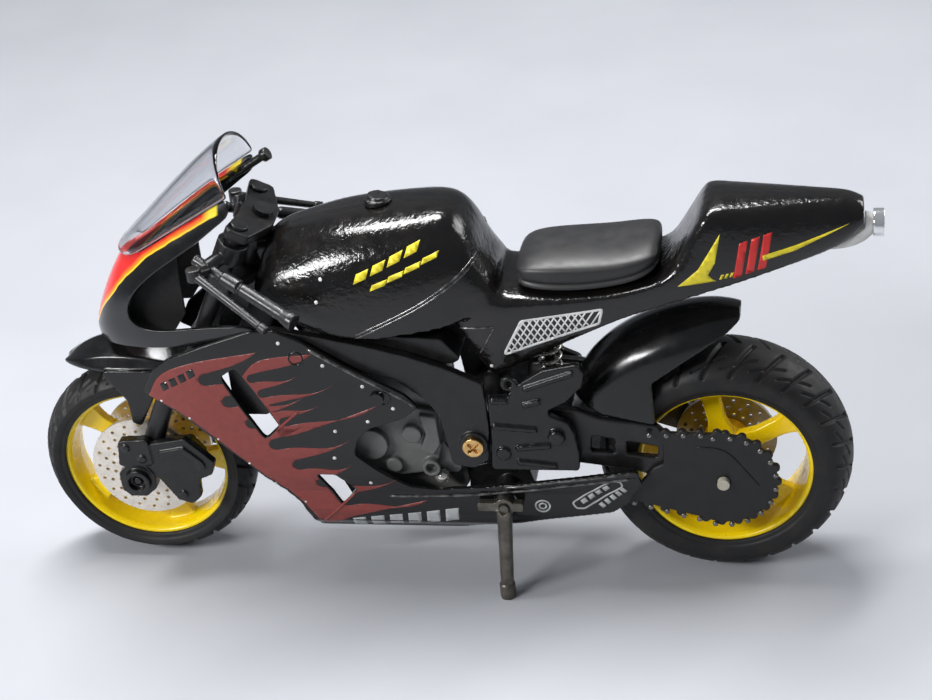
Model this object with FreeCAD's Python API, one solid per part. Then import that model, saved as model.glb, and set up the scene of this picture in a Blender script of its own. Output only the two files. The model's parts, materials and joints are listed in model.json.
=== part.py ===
"""Toy racing motorcycle, free rolling, standing upright on its side stand.

Millimetres.  X runs from the front wheel to the rear wheel, Y to the right-hand
side, Z up.  Points are written about the middle of the wheelbase on the ground
and moved on saving, so that the origin is on the ground under the middle of the
whole machine.  The left side is the side with the stand and the chain, at -Y.
"""
import FreeCAD
import Part
import math
import os

# ---------------------------------------------------------------- dimensions
WHEELBASE = 130.0
BOX_MIDDLE = 3.95            # middle of the whole length, behind the wheelbase's middle

FRONT_TYRE_R = 24.5
FRONT_TYRE_HALF = 6.3
REAR_TYRE_R = 27.3
REAR_TYRE_HALF = 8.5
TREAD_FLAT = 1.2             # half width of the flat strip that a tyre stands on
RIM_R = 19.3
FRONT_RIM_HALF = 4.8
REAR_RIM_HALF = 7.0
RIM_WALL = 1.5
SPOKES = 5
AXLE_R = 1.3
RUNNING = 0.05               # radial play of every turning fit

RAKE = math.radians(25.0)
STEER_X = -33.6              # where the steering axis passes STEER_Z
STEER_Z = 80.0
FORK_Y = 8.9
STEM_R = 1.5

PIVOT_X = 12.6               # swingarm pivot
PIVOT_Z = 38.0
PIVOT_R = 1.3                # a 2.6 mm screw
STAND_X = 18.2
STAND_Z = 22.8
STAND_PIN_R = 1.0

SHOCK_X = 28.0               # upright spring ahead of the rear wheel

PANEL_T = 1.1                # wall of the fairing panels
CAST_T = 1.6                 # wall of the tank and tail casting
SCREEN_T = 0.8

FRONT = (-WHEELBASE / 2, FRONT_TYRE_R)
REAR = (WHEELBASE / 2, REAR_TYRE_R)

os.makedirs("parts", exist_ok=True)


# ------------------------------------------------------------------- helpers
def vec(x, y, z):
    return FreeCAD.Vector(x, y, z)


def save(name, shape):
    """Move a finished piece to the machine's origin and write it."""
    shape = shape.copy()
    shape.translate(vec(-BOX_MIDDLE, 0, 0))
    shape.exportStep("parts/" + name + ".step")


def mirrored(shape):
    """The same piece on the other side of the centre plane."""
    return shape.mirror(vec(0, 0, 0), vec(0, 1, 0))


def joined(shapes):
    """One solid from several that overlap."""
    result = shapes[0]
    for shape in shapes[1:]:
        result = result.fuse(shape)
    return result.removeSplitter()


def largest(shape):
    """The main solid, without the slivers that a cut left."""
    return max(shape.Solids, key=lambda solid: solid.Volume)


def rounded_wire(points, radius):
    """Closed wire through 3-D points in one plane, its corners rounded by arcs."""
    edges = []
    ends = []
    count = len(points)
    for i in range(count):
        here = points[i]
        back = points[i - 1] - here
        ahead = points[(i + 1) % count] - here
        angle = back.getAngle(ahead)
        room = 0.45 * min(back.Length, ahead.Length)
        cut = min(radius / math.tan(angle / 2), room)
        start = here + back * (cut / back.Length)
        end = here + ahead * (cut / ahead.Length)
        bow = cut * math.tan(angle / 2)
        toward = (back * (1 / back.Length) + ahead * (1 / ahead.Length))
        depth = bow / math.sin(angle / 2) - bow
        if toward.Length < 1e-6:
            ends.append((here, here))
            edges.append(None)
            continue
        middle = here + toward * (depth / toward.Length)
        ends.append((start, end))
        edges.append(Part.Arc(start, middle, end).toShape())
    chain = []
    for i in range(count):
        if edges[i] is not None:
            chain.append(edges[i])
        leave = ends[i][1]
        arrive = ends[(i + 1) % count][0]
        if (arrive - leave).Length > 1e-5:
            chain.append(Part.makeLine(leave, arrive))
    return Part.Wire(chain)


def plate(points, y_low, y_high, radius=0.6):
    """Side-view outline of (x, z) points, given thickness from y_low to y_high."""
    corners = [vec(x, y_low, z) for x, z in points]
    face = Part.Face(rounded_wire(corners, radius))
    return face.extrude(vec(0, y_high - y_low, 0))


def rod(start, end, radius):
    """Round bar between two points."""
    a = vec(*start)
    direction = vec(*end) - a
    return Part.makeCylinder(radius, direction.Length, a, direction)


def cone(start, end, r_start, r_end):
    a = vec(*start)
    direction = vec(*end) - a
    return Part.makeCone(r_start, r_end, direction.Length, a, direction)


def cross(centre, y_low, y_high, radius):
    """Round bar across the machine, along Y."""
    return rod((centre[0], y_low, centre[1]), (centre[0], y_high, centre[1]), radius)


def tube(centre, y_low, y_high, outer, inner):
    return cross(centre, y_low, y_high, outer).cut(cross(centre, y_low - 1, y_high + 1, inner))


def turned(profile, centre):
    """Solid of revolution about the Y line through centre, from (radius, y) points."""
    points = [vec(centre[0] + r, y, centre[1]) for r, y in profile]
    face = Part.Face(Part.makePolygon(points + [points[0]]))
    return face.revolve(vec(centre[0], 0, centre[1]), vec(0, 1, 0), 360)


def closed_curve(points):
    """Smooth closed wire through 3-D points."""
    curve = Part.BSplineCurve()
    curve.interpolate(Points=points, PeriodicFlag=True)
    return Part.Wire([curve.toShape()])


def hull_section(x, half, top, waist, bottom, shoulder=0.72, foot=0.8):
    """Closed body section at one x: a rounded shape, widest at the waist height."""
    upper = waist + 0.72 * (top - waist)
    right = [(half * 0.36, top - 0.03 * (top - waist)), (half * shoulder, upper), (half, waist),
             (half * foot, bottom)]
    points = [vec(x, 0, top)]
    points += [vec(x, y, z) for y, z in right]
    points += [vec(x, 0, bottom)]
    points += [vec(x, -y, z) for y, z in reversed(right)]
    return closed_curve(points)


def body_loft(rows, inset=0.0, drop=0.0, straight=False):
    """Loft of hull sections; inset makes the inner form, drop lowers its floor."""
    wires = []
    for x, half, top, waist, bottom in rows:
        wires.append(hull_section(x, half - inset, top - inset, waist, bottom - drop))
    return Part.makeLoft(wires, True, straight)


def along_steer(s, ahead=0.0, y=0.0):
    """Point at distance s up the steering axis and a distance ahead of it."""
    x = STEER_X + s * math.sin(RAKE) - ahead * math.cos(RAKE)
    z = STEER_Z + s * math.cos(RAKE) + ahead * math.sin(RAKE)
    return (x, y, z)


def steer_block(points, s_low, s_high, radius=0.6):
    """Plate square to the steering axis, from (ahead, y) corners."""
    corners = [vec(*along_steer(s_low, ahead, y)) for ahead, y in points]
    face = Part.Face(rounded_wire(corners, radius))
    lift = vec(math.sin(RAKE), 0, math.cos(RAKE)) * (s_high - s_low)
    return face.extrude(lift)


# -------------------------------------------------------------------- wheels
def tyre(centre, radius, half):
    """Round-shouldered tyre whose bead sits on the rim."""
    bead = half - 1.1
    flank_r = RIM_R + 0.42 * (radius - RIM_R)
    cx, cz = centre
    crown = [vec(cx + flank_r, -half, cz), vec(cx + radius - 1.3, -0.62 * half, cz),
             vec(cx + radius, -TREAD_FLAT, cz)]
    left = Part.Arc(*crown).toShape()
    right = Part.Arc(vec(cx + radius, TREAD_FLAT, cz), vec(cx + radius - 1.3, 0.62 * half, cz),
                     vec(cx + flank_r, half, cz)).toShape()
    outline = [
        Part.makeLine(vec(cx + RIM_R, -bead, cz), vec(cx + flank_r, -half, cz)),
        left,
        Part.makeLine(vec(cx + radius, -TREAD_FLAT, cz), vec(cx + radius, TREAD_FLAT, cz)),
        right,
        Part.makeLine(vec(cx + flank_r, half, cz), vec(cx + RIM_R, bead, cz)),
        Part.makeLine(vec(cx + RIM_R, bead, cz), vec(cx + RIM_R, -bead, cz)),
    ]
    face = Part.Face(Part.Wire(outline))
    return face.revolve(vec(cx, 0, cz), vec(0, 1, 0), 360)


def rim(centre, half, first_spoke, hub_r, hub_low, hub_high):
    """Barrel, hub and flared spokes in the wheel's middle plane."""
    inner = RIM_R - RIM_WALL
    barrel = turned([(RIM_R, -half), (RIM_R, half), (inner + 0.5, half), (inner, half - 0.8),
                     (inner - 0.6, 0), (inner, 0.8 - half), (inner + 0.5, -half)], centre)
    parts = [barrel, cross(centre, hub_low, hub_high, hub_r)]
    half_widths = [(hub_r - 1.0, 3.1), (8.5, 1.9), (13.5, 2.0), (inner, 3.3)]
    for k in range(SPOKES):
        angle = math.radians(first_spoke + k * 360.0 / SPOKES)
        out = (math.cos(angle), math.sin(angle))
        side = (-out[1], out[0])
        points = []
        for r, w in half_widths:
            points.append((centre[0] + r * out[0] + w * side[0], centre[1] + r * out[1] + w * side[1]))
        for r, w in reversed(half_widths):
            points.append((centre[0] + r * out[0] - w * side[0], centre[1] + r * out[1] - w * side[1]))
        parts.append(plate(points, -1.2, 1.2, 0.3))
    wheel = joined(parts)
    return wheel.cut(cross(centre, -half - 5, half + 5, AXLE_R + RUNNING))


def disc(centre, y_low, y_high, outer, inner, holes):
    """Brake disc with rings of small holes."""
    body = tube(centre, y_low, y_high, outer, inner)
    drills = []
    for ring in range(3):
        r = outer - 1.5 - ring * 1.7
        for k in range(holes):
            angle = 2 * math.pi * (k + 0.33 * ring) / holes
            spot = (centre[0] + r * math.cos(angle), centre[1] + r * math.sin(angle))
            drills.append(cross(spot, y_low - 1, y_high + 1, 0.42))
    return body.cut(Part.makeCompound(drills))


def wheels():
    save("front_tyre", tyre(FRONT, FRONT_TYRE_R, FRONT_TYRE_HALF))
    save("front_rim", rim(FRONT, FRONT_RIM_HALF, -2.0, 4.6, -5.6, 5.6))
    save("front_disc_left", disc(FRONT, -5.4, -4.5, 12.5, 4.6, 20))
    save("front_disc_right", disc(FRONT, 4.5, 5.4, 12.5, 4.6, 20))
    save("rear_tyre", tyre(REAR, REAR_TYRE_R, REAR_TYRE_HALF))
    save("rear_rim", rim(REAR, REAR_RIM_HALF, 30.0, 5.0, -8.4, 8.4))
    save("rear_disc", disc(REAR, 5.0, 6.0, 11.0, 5.0, 18))


# ------------------------------------------------------------------ steering
def fork_leg():
    """Left leg: flattened lower casting, round tube above it."""
    down = -math.cos(RAKE)

    def at(s, ahead):
        x, _, z = along_steer(s, ahead)
        return vec(x, -FORK_Y, z)

    lower = []
    for s, ahead, deep, wide in ((-60.5, 4.6, 2.6, 1.7), (-50, 5.2, 2.3, 1.8), (-41, 5.4, 2.2, 1.8),
                                 (-29, 3.4, 2.4, 2.0)):
        centre = at(s, ahead)
        fore = vec(down, 0, math.sin(RAKE))
        side = vec(0, 1, 0)
        points = []
        for k in range(8):
            a = 2 * math.pi * k / 8
            points.append(centre + fore * (deep * math.cos(a)) + side * (wide * math.sin(a)))
        lower.append(closed_curve(points))
    casting = Part.makeLoft(lower, True, False)
    tube_low = at(-31, 3.0)
    tube_high = at(7.4, 3.0)
    upper = rod(tube_low, tube_high, 1.9)
    foot = cross((FRONT[0] + 0.4, FRONT[1] + 0.6), -10.6, -7.2, 3.6)
    leg = joined([casting, upper, foot])
    return leg.cut(cross(FRONT, -14, 0, AXLE_R))


def caliper():
    """Left caliper and axle-end casting, outside the fork foot."""
    x, z = FRONT
    arm = plate([(x + 3.6, z + 10.6), (x + 12.8, z + 12.4), (x + 18.8, z + 6.2), (x + 17.8, z + 3.0),
                 (x + 14.6, z + 1.6), (x + 14.4, z - 3.0), (x + 12.2, z - 5.0), (x + 9.0, z - 3.8),
                 (x + 5.6, z + 1.6), (x + 2.4, z + 4.6)], -12.8, -10.8, 0.9)
    block = plate([(x - 3.2, z + 5.2), (x - 2.4, z + 11.8), (x + 4.4, z + 12.2), (x + 4.8, z + 5.6)],
                  -13.2, -10.8, 0.8)
    end = plate([(x - 3.4, z - 1.2), (x - 3.6, z + 3.2), (x - 1.0, z + 5.8), (x + 2.8, z + 5.8),
                 (x + 4.6, z + 3.0), (x + 4.6, z - 0.6), (x + 2.0, z - 2.8), (x - 1.6, z - 2.8)],
                -13.2, -10.4, 0.6)
    pad = plate([(x + 7.6, z + 9.0), (x + 12.6, z + 9.4), (x + 15.4, z + 5.6), (x + 12.6, z + 1.4),
                 (x + 12.0, z - 2.6), (x + 9.4, z - 2.2)], -10.9, -6.0, 0.7)
    cup = tube((x + 0.7, z + 1.6), -14.6, -13.1, 3.0, 1.9)
    stud = cross((x + 0.7, z + 1.6), -13.8, -13.1, 0.9)
    parts = [arm, block, end, pad, cup, stud]
    for dx, dz, top in ((-0.8, 10.2, 13.7), (2.6, 7.4, 13.7), (10.6, -2.2, 13.4), (15.8, 5.6, 13.4)):
        parts.append(cross((x + dx, z + dz), -top, -12.7, 0.9))
    parts.append(plate([(x + 6.4, z + 8.2), (x + 6.6, z + 9.2), (x + 12.4, z + 10.4), (x + 16.4, z + 6.6),
                        (x + 15.6, z + 5.8), (x + 12.0, z + 9.2)], -13.4, -12.7, 0.3))
    body = joined(parts).cut(fork_leg())
    return body.cut(cross(FRONT, -12.4, 0, AXLE_R))


def yoke(s_low, s_high, back):
    """Clamp plate that holds both legs and the stem."""
    reach = FORK_Y + 2.9
    points = [(5.6, reach), (0.2, reach), (-back, 3.2), (-back, -3.2), (0.2, -reach), (5.6, -reach),
              (4.4, -4.0), (4.4, 4.0)]
    body = steer_block(points, s_low, s_high, 1.2)
    for y in (-FORK_Y, FORK_Y):
        body = body.cut(rod(along_steer(s_low - 2, 3.0, y), along_steer(s_high + 2, 3.0, y), 1.9))
    return body.cut(rod(along_steer(s_low - 2), along_steer(s_high + 2), STEM_R))


BAR_ROOT = (-43.0, -11.9, 81.3)
GRIP_END = (-20.9, -22.6, 72.7)


def toward(start, end, part):
    """Point part of the way from start to end."""
    return tuple(a + part * (b - a) for a, b in zip(start, end))


def on_bar(part):
    return toward(BAR_ROOT, GRIP_END, part)


def handlebar():
    """Left clip-on: clamp round the leg under the top yoke, bar and grip."""
    clamp = rod(along_steer(-1.6, 3.0, -FORK_Y), along_steer(3.0, 3.0, -FORK_Y), 3.3)
    knuckle = rod(along_steer(0.4, 3.4, -10.2), on_bar(0.13), 1.6)
    bar = rod(BAR_ROOT, GRIP_END, 1.15)
    collar = rod(on_bar(0.30), on_bar(0.46), 1.65)
    grip = rod(on_bar(0.49), on_bar(0.95), 1.4)
    end = cone(on_bar(0.90), on_bar(0.97), 1.4, 1.85)
    cap = rod(on_bar(0.97), on_bar(1.02), 1.85)
    body = joined([clamp, knuckle, bar, collar, grip, end, cap])
    return body.cut(rod(along_steer(-4, 3.0, -FORK_Y), along_steer(6, 3.0, -FORK_Y), 1.9))


LEVER_PIVOT = (-41.7, -17.9, 81.0)
LEVER_TIP = (-25.6, -27.2, 73.5)


def lever():
    """Left hand lever: perch, pivot post and tapering blade with a thick tip."""
    perch = rod(on_bar(0.16), LEVER_PIVOT, 1.1)
    x, y, z = LEVER_PIVOT
    post = rod((x, y, z - 1.4), (x, y, z + 1.4), 1.5)
    blade = cone(LEVER_PIVOT, LEVER_TIP, 1.0, 0.75)
    tip = rod(toward(LEVER_PIVOT, LEVER_TIP, 0.94), toward(LEVER_PIVOT, LEVER_TIP, 1.03), 1.0)
    return joined([perch, post, blade, tip]).cut(handlebar())


def fender():
    """Front mudguard: an arched shell with a low beak, and its flanks to the fork."""
    x, z = FRONT
    rail_z = 25.5
    shells_made = []
    for inset in (0.0, 1.0):
        wires = []
        for angle, crown, wide in ((121, 30.0, 2.2), (113, 31.2, 5.6), (101, 32.2, 7.3), (88, 32.2, 7.9),
                                   (74, 31.6, 8.0), (60, 30.6, 7.4)):
            a = math.radians(angle)
            out = vec(math.cos(a), 0, math.sin(a))
            base = vec(x, 0, z)
            rail = rail_z / math.sin(a) - 1.4 * inset
            top = crown - inset
            w = wide - inset
            middle = (rail + top) / 2 + 0.6
            side = vec(0, 1, 0)
            points = [base + out * top, base + out * middle + side * (w * 0.78),
                      base + out * rail + side * w, base + out * rail - side * w,
                      base + out * middle - side * (w * 0.78)]
            wires.append(rounded_wire(points, 0.8))
        shells_made.append(Part.makeLoft(wires, True, False))
    guard = shells_made[0].cut(shells_made[1])
    guard = guard.cut(cross(FRONT, -20, 20, FRONT_TYRE_R + 0.9))
    flank = plate([(x - 5.6, z + 26.6), (x - 0.4, z + 19.0), (x - 0.2, z + 13.4), (x + 1.8, z + 12.4),
                   (x + 5.6, z + 19.6), (x + 6.8, z + 26.8)], -8.0, -7.0, 0.8)
    return guard, flank.cut(fork_leg())


def steering():
    leg = fork_leg()
    save("fork_leg_left", leg)
    save("fork_leg_right", mirrored(leg))
    save("caliper_left", caliper())
    save("caliper_right", mirrored(caliper()))
    save("top_yoke", yoke(4.6, 6.8, 3.2))
    save("bottom_yoke", yoke(-8.4, -5.2, 3.6))
    stem = rod(along_steer(-9.0), along_steer(7.2), STEM_R)
    nut = rod(along_steer(6.8), along_steer(8.0), 2.3)
    save("steering_stem", joined([stem, nut]))
    save("handlebar_left", handlebar())
    save("handlebar_right", mirrored(handlebar()))
    save("lever_left", lever())
    save("lever_right", mirrored(lever()))
    guard, flank = fender()
    save("front_fender", joined([guard, flank, mirrored(flank)]))
    save("front_axle", cross(FRONT, -12.4, 12.4, AXLE_R))


# --------------------------------------------------------------- frame, engine
SPINE = ((-32.5, 81.0), (-31.0, 76.5), (-25.5, 68.0), (-21.0, 60.2), (3.0, 58.2), (20.0, 58.6),
         (42.0, 65.8), (60.0, 72.6), (60.0, 75.4), (44.0, 69.6), (21.0, 68.6), (12.0, 79.0),
         (-10.0, 79.0), (-24.0, 79.0))


def main_frame():
    """Head tube, spine under the tank and rail under the seat, one casting."""
    spine = plate(SPINE, -5.0, 5.0, 1.5)
    head = rod(along_steer(-5.0), along_steer(4.4), 3.3)
    body = joined([spine, head])
    sweep = rod(along_steer(-30.0), along_steer(-5.0), 7.0)
    cap = rod(along_steer(4.4), along_steer(20.0), 7.0)
    body = body.cut(sweep).cut(cap)
    return body.cut(rod(along_steer(-10), along_steer(10), STEM_R + RUNNING))


def engine_block():
    """Crankcase and cylinders of the dummy engine."""
    upper = plate([(-27.0, 52.0), (-26.0, 42.0), (-18.0, 27.0), (9.0, 27.0), (7.6, 31.0), (5.0, 35.0),
                   (4.6, 43.0), (5.4, 49.0), (3.0, 54.6), (-20.0, 55.6)], -9.6, 9.6, 1.6)
    lower = plate([(-18.0, 28.0), (-15.0, 21.0), (-9.0, 17.5), (6.0, 17.5), (9.5, 23.0), (9.0, 28.0)],
                  -7.4, 7.4, 1.6)
    return joined([upper, lower])


def radiator():
    """Dark block behind the slot of each side panel."""
    block = plate([(-39.4, 44.0), (-39.4, 60.0), (-31.4, 60.0), (-31.4, 44.0)], -13.5, 13.5, 1.2)
    return block.cut(main_frame()).cut(engine_block())


def air_box():
    """Rounded box between the engine and the tank, notched for the frame's spine."""
    body = plate([(-21.0, 55.9), (-20.0, 61.6), (-4.0, 62.6), (7.0, 61.8), (11.0, 57.0), (9.0, 55.9)],
                 -11.4, 11.4, 1.4)
    return body.cut(plate(SPINE, -5.0, 5.0, 1.5))


def engine_cover():
    """Left cover: a plate with one large and three small round caps."""
    base = plate([(-15.0, 30.5), (-15.6, 43.0), (-6.0, 46.0), (4.6, 43.6), (5.0, 35.4), (3.0, 28.4),
                  (-5.0, 27.2)], -11.2, -9.6, 1.5)
    big = cross((-10.4, 36.2), -13.2, -11.0, 3.8)
    small = cross((-1.2, 38.6), -12.8, -11.0, 2.1)
    low = cross((-5.8, 30.6), -12.6, -11.0, 1.8)
    ring = tube((2.4, 30.2), -13.0, -11.0, 2.0, 1.2)
    ridge = plate([(0.6, 43.6), (4.4, 42.8), (4.8, 36.0), (3.0, 33.2), (0.2, 34.4), (1.8, 38.6)],
                  -12.4, -11.0, 0.4)
    return joined([base, big, small, low, ring, ridge])


def frame_plate():
    """Left side plate: spar under the tank, pivot boss behind the engine."""
    body = plate([(-30.0, 66.0), (-18.0, 63.9), (-8.7, 61.8), (0.0, 59.4), (7.8, 56.5), (15.4, 52.8),
                  (15.9, 47.0), (16.0, 40.8), (15.4, 33.6), (12.0, 31.4), (7.4, 32.4), (7.0, 36.0),
                  (5.8, 44.6), (3.0, 48.6), (-3.0, 53.6), (-14.0, 56.4), (-28.0, 62.4)],
                 -14.4, -12.4, 1.2)
    boss = cross((PIVOT_X, PIVOT_Z), -15.4, -12.4, 3.0)
    return joined([body, boss]).cut(cross((PIVOT_X, PIVOT_Z), -20, 0, PIVOT_R))


def footrest_bracket():
    """Left ribbed plate behind the pivot, with a hook and a paddle-shaped lobe at its top."""
    body = plate([(16.2, 49.4), (16.3, 40.0), (15.9, 31.0), (34.8, 31.0), (34.9, 35.0), (34.0, 40.6),
                  (32.8, 43.2), (27.8, 45.6), (32.8, 48.4), (36.2, 52.2), (36.9, 55.4), (35.6, 57.5),
                  (28.0, 55.9), (22.8, 52.4), (20.6, 49.4)], -14.3, -12.6, 0.9)
    hook = tube((20.9, 52.6), -14.3, -12.8, 1.7, 0.8)
    parts = [body, hook]
    for x_low, z_low, x_high, z_high in ((16.9, 48.6, 20.4, 48.6), (16.9, 42.3, 26.2, 41.5),
                                         (21.6, 36.8, 29.0, 37.6), (21.6, 33.4, 30.0, 32.4),
                                         (23.6, 47.6, 27.4, 48.6), (24.0, 51.6, 34.6, 55.6)):
        parts.append(plate([(x_low, z_low - 0.55), (x_high, z_high - 0.55), (x_high, z_high + 0.55),
                            (x_low, z_low + 0.55)], -15.0, -14.2, 0.3))
    parts.append(cone((30.4, -14.2, 40.0), (30.4, -15.8, 40.0), 1.9, 1.6))
    parts.append(cross((18.8, 35.5), -15.0, -14.2, 1.5))
    return joined(parts)


def chassis_small():
    """Pivot screw and nut, stand bracket and pin, spring and its rod."""
    shank = cross((PIVOT_X, PIVOT_Z), -15.4, 16.4, PIVOT_R)
    head = cross((PIVOT_X, PIVOT_Z), -16.6, -15.4, 2.25)
    slots = []
    for k in range(2):
        blade = Part.makeBox(3.0, 1.4, 0.6, vec(PIVOT_X - 1.5, -17.2, PIVOT_Z - 0.3))
        blade.rotate(vec(PIVOT_X, 0, PIVOT_Z), vec(0, 1, 0), 45 + 90 * k)
        slots.append(blade)
    screw = joined([shank, head]).cut(slots[0]).cut(slots[1])
    save("pivot_screw", screw)
    save("pivot_nut", tube((PIVOT_X, PIVOT_Z), 15.4, 17.2, 2.4, PIVOT_R))
    bracket = plate([(9.0, 17.6), (9.6, 26.6), (14.0, 28.0), (22.4, 27.4), (24.0, 22.0), (21.0, 17.6)],
                    -7.0, 7.0, 1.2)
    boss = cross((STAND_X, STAND_Z), -14.5, -6.9, 2.2)
    hole = cross((STAND_X, STAND_Z), -20, -7.0, STAND_PIN_R)
    save("stand_bracket", joined([bracket, boss]).cut(engine_block()).cut(hole))
    save("stand_pin", cross((STAND_X, STAND_Z), -17.4, -7.0, STAND_PIN_R))
    save("shock_spring", rod((SHOCK_X, 0, 43.6), (SHOCK_X, 0, 61.0), 2.7).cut(
        rod((SHOCK_X, 0, 40), (SHOCK_X, 0, 70), 1.6)).cut(main_frame()))
    save("shock_rod", rod((SHOCK_X, 0, 46.4), (SHOCK_X, 0, 63.0), 1.2).cut(main_frame()))


def stand_leg():
    """Side stand: flat head, tapering leg and a collared foot."""
    head = plate([(STAND_X - 5.8, STAND_Z - 1.0), (STAND_X + 4.2, STAND_Z - 1.0),
                  (STAND_X + 4.2, STAND_Z + 1.1), (STAND_X - 5.8, STAND_Z + 1.1)], -16.8, -14.8, 0.5)
    knuckle = cross((STAND_X, STAND_Z), -16.8, -14.8, 2.2)
    foot = (STAND_X - 0.5, -18.0)
    leg = cone((STAND_X, -16.5, STAND_Z - 0.6), (foot[0], foot[1], 3.4), 1.7, 1.45)
    collar = rod((foot[0], foot[1], 0), (foot[0], foot[1], 3.6), 1.75)
    body = joined([head, knuckle, leg, collar])
    return body.cut(cross((STAND_X, STAND_Z), -30, 0, STAND_PIN_R + RUNNING))


# ------------------------------------------------------------------ rear fork
def swingarm():
    """Pivot tube, two arms with windows and a bridge ahead of the wheel."""
    barrel = cross((PIVOT_X, PIVOT_Z), -12.2, 12.2, 3.4)
    x, z = REAR
    arm_points = [(PIVOT_X - 1.0, PIVOT_Z + 3.3), (24.0, 45.4), (34.4, 44.2), (39.6, 42.0), (51.3, 40.5),
                  (x - 8.0, z + 7.0), (x + 4.0, z + 3.6), (x + 4.2, z - 3.4), (x - 5.0, z - 2.8),
                  (46.0, 29.2), (35.0, 30.8), (PIVOT_X, PIVOT_Z - 3.4)]
    slots = [plate([(37.4, 37.9), (42.2, 37.0), (42.2, 33.4), (37.0, 33.8)], -20, 20, 0.5),
             plate([(44.6, 36.5), (51.3, 35.3), (51.2, 32.4), (44.6, 33.2)], -20, 20, 0.5)]
    left = plate(arm_points, -11.0, -9.2, 1.6).cut(Part.makeCompound(slots))
    right = plate(arm_points, 9.2, 11.0, 1.6).cut(Part.makeCompound(slots))
    bridge = plate([(22.0, 36.0), (22.0, 43.6), (33.0, 43.6), (34.0, 38.0), (33.0, 34.0), (26.0, 33.8)],
                   -9.3, 9.3, 1.2)
    body = joined([barrel, bridge, left, right])
    body = body.cut(cross((PIVOT_X, PIVOT_Z), -20, 20, PIVOT_R + RUNNING))
    return body.cut(cross(REAR, -20, 20, AXLE_R))


def chain_plate():
    """Moulded sprocket and chain on the outside of the left arm."""
    x, z = REAR[0] + 0.2, REAR[1] + 0.7
    pitch = 3.6
    low, high = -12.2, -11.0
    run = plate([(51.6, 39.6), (x, z + 11.2), (x, z - 11.0), (57.4, 18.8), (52.4, 20.3), (44.4, 22.6),
                 (45.8, 24.6), (50.2, 30.4), (52.4, 31.6), (52.4, 36.0)], low, high, 0.5)
    parts = [cross((x, z), low, high, 11.1), run]
    for k in range(4):
        parts.append(cross((53.0 + pitch * k, 39.4), low, high, 0.95))
    for k in range(4):
        parts.append(cross((45.4 + 0.96 * pitch * k, 22.2 - 0.28 * pitch * k), low, high, 0.95))
    for k in range(12):
        a = math.radians(-112 + k * 18.2)
        parts.append(cross((x + 11.1 * math.cos(a), z + 11.1 * math.sin(a)), low, high, 0.95))
    return joined(parts).cut(cross(REAR, -20, 0, AXLE_R))


def hugger():
    """Inner mudguard of the rear wheel: an arch with a rounded shoulder and flat skirts."""
    x, z = REAR
    wires_out = []
    wires_in = []
    rows = ((152, 36.4, 1.0), (144, 37.0, 1.0), (132, 37.2, 1.0), (118, 37.0, 1.0), (105, 37.0, 0.94),
            (95, 37.1, 0.84), (84, 36.8, 0.62))
    for angle, crown, wide in rows:
        a = math.radians(angle)
        out = vec(math.cos(a), 0, math.sin(a))
        base = vec(x, 0, z)
        side = vec(0, 1, 0)
        for wires, w, top, rail in ((wires_out, 10.0 * wide, crown, 13.0),
                                    (wires_in, 10.0 * wide - 0.95, crown - 1.1, 10.0)):
            flank = ((top - 1.2, 0.58), (top - 4.6, 0.93), (top - 8.6, 1.0), (rail, 1.0))
            points = [base + out * top]
            points += [base + out * height + side * (w * share) for height, share in flank]
            points.append(base + out * (rail - 0.8))
            points += [base + out * height - side * (w * share) for height, share in reversed(flank)]
            wires.append(closed_curve(points))
    shell = Part.makeLoft(wires_out, True, False).cut(Part.makeLoft(wires_in, True, False))
    below = plate([(20.0, 20.0), (20.0, 44.4), (35.2, 44.4), (39.8, 42.2), (51.0, 40.8), (50.4, 50.4),
                   (56.4, 54.6), (62.2, 58.3), (66.0, 60.4), (69.4, 62.8), (80.0, 62.0), (80.0, 20.0)],
                  -20, 20)
    return shell.cut(below)


def rear_end():
    arm = swingarm()
    save("swingarm", arm)
    save("chain_plate", chain_plate())
    save("rear_hugger", largest(hugger().cut(arm)))
    save("rear_axle", cross(REAR, -13.4, 13.0, AXLE_R))
    x, z = REAR
    holder = plate([(x - 15.6, z + 2.6), (x - 15.0, z + 8.4), (x - 10.0, z + 9.8), (x - 6.6, z + 5.4),
                    (x - 8.0, z + 1.2)], 6.7, 9.2, 0.8)
    save("rear_caliper", holder)


# ----------------------------------------------------------------- body shells
TANK = (  # x, half width, top, waist height, bottom
    (-31.0, 9.0, 78.5, 73.6, 71.6),
    (-28.6, 12.0, 82.0, 73.4, 70.2),
    (-20.0, 14.6, 85.8, 72.0, 66.2),
    (-11.0, 15.4, 87.8, 71.0, 63.4),
    (0.0, 15.2, 88.8, 74.0, 64.0),
    (8.0, 13.6, 88.8, 76.4, 65.4),
    (13.4, 11.8, 85.4, 76.4, 66.4),
    (18.6, 10.0, 75.6, 72.8, 67.2),
)
TAIL = (
    (9.0, 10.6, 74.0, 70.0, 64.6),
    (17.0, 11.0, 72.0, 67.0, 52.0),
    (24.0, 11.2, 71.4, 67.6, 55.6),
    (32.0, 11.2, 71.6, 68.0, 59.4),
    (44.0, 11.0, 73.0, 70.0, 65.2),
    (53.0, 10.6, 76.0, 73.0, 68.2),
    (57.0, 10.2, 82.6, 77.0, 69.4),
    (61.5, 9.8, 89.4, 80.0, 70.6),
    (72.0, 8.4, 89.8, 82.0, 73.4),
    (84.0, 6.4, 89.6, 84.0, 77.2),
    (93.6, 4.0, 88.6, 86.0, 83.0),
)


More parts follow.
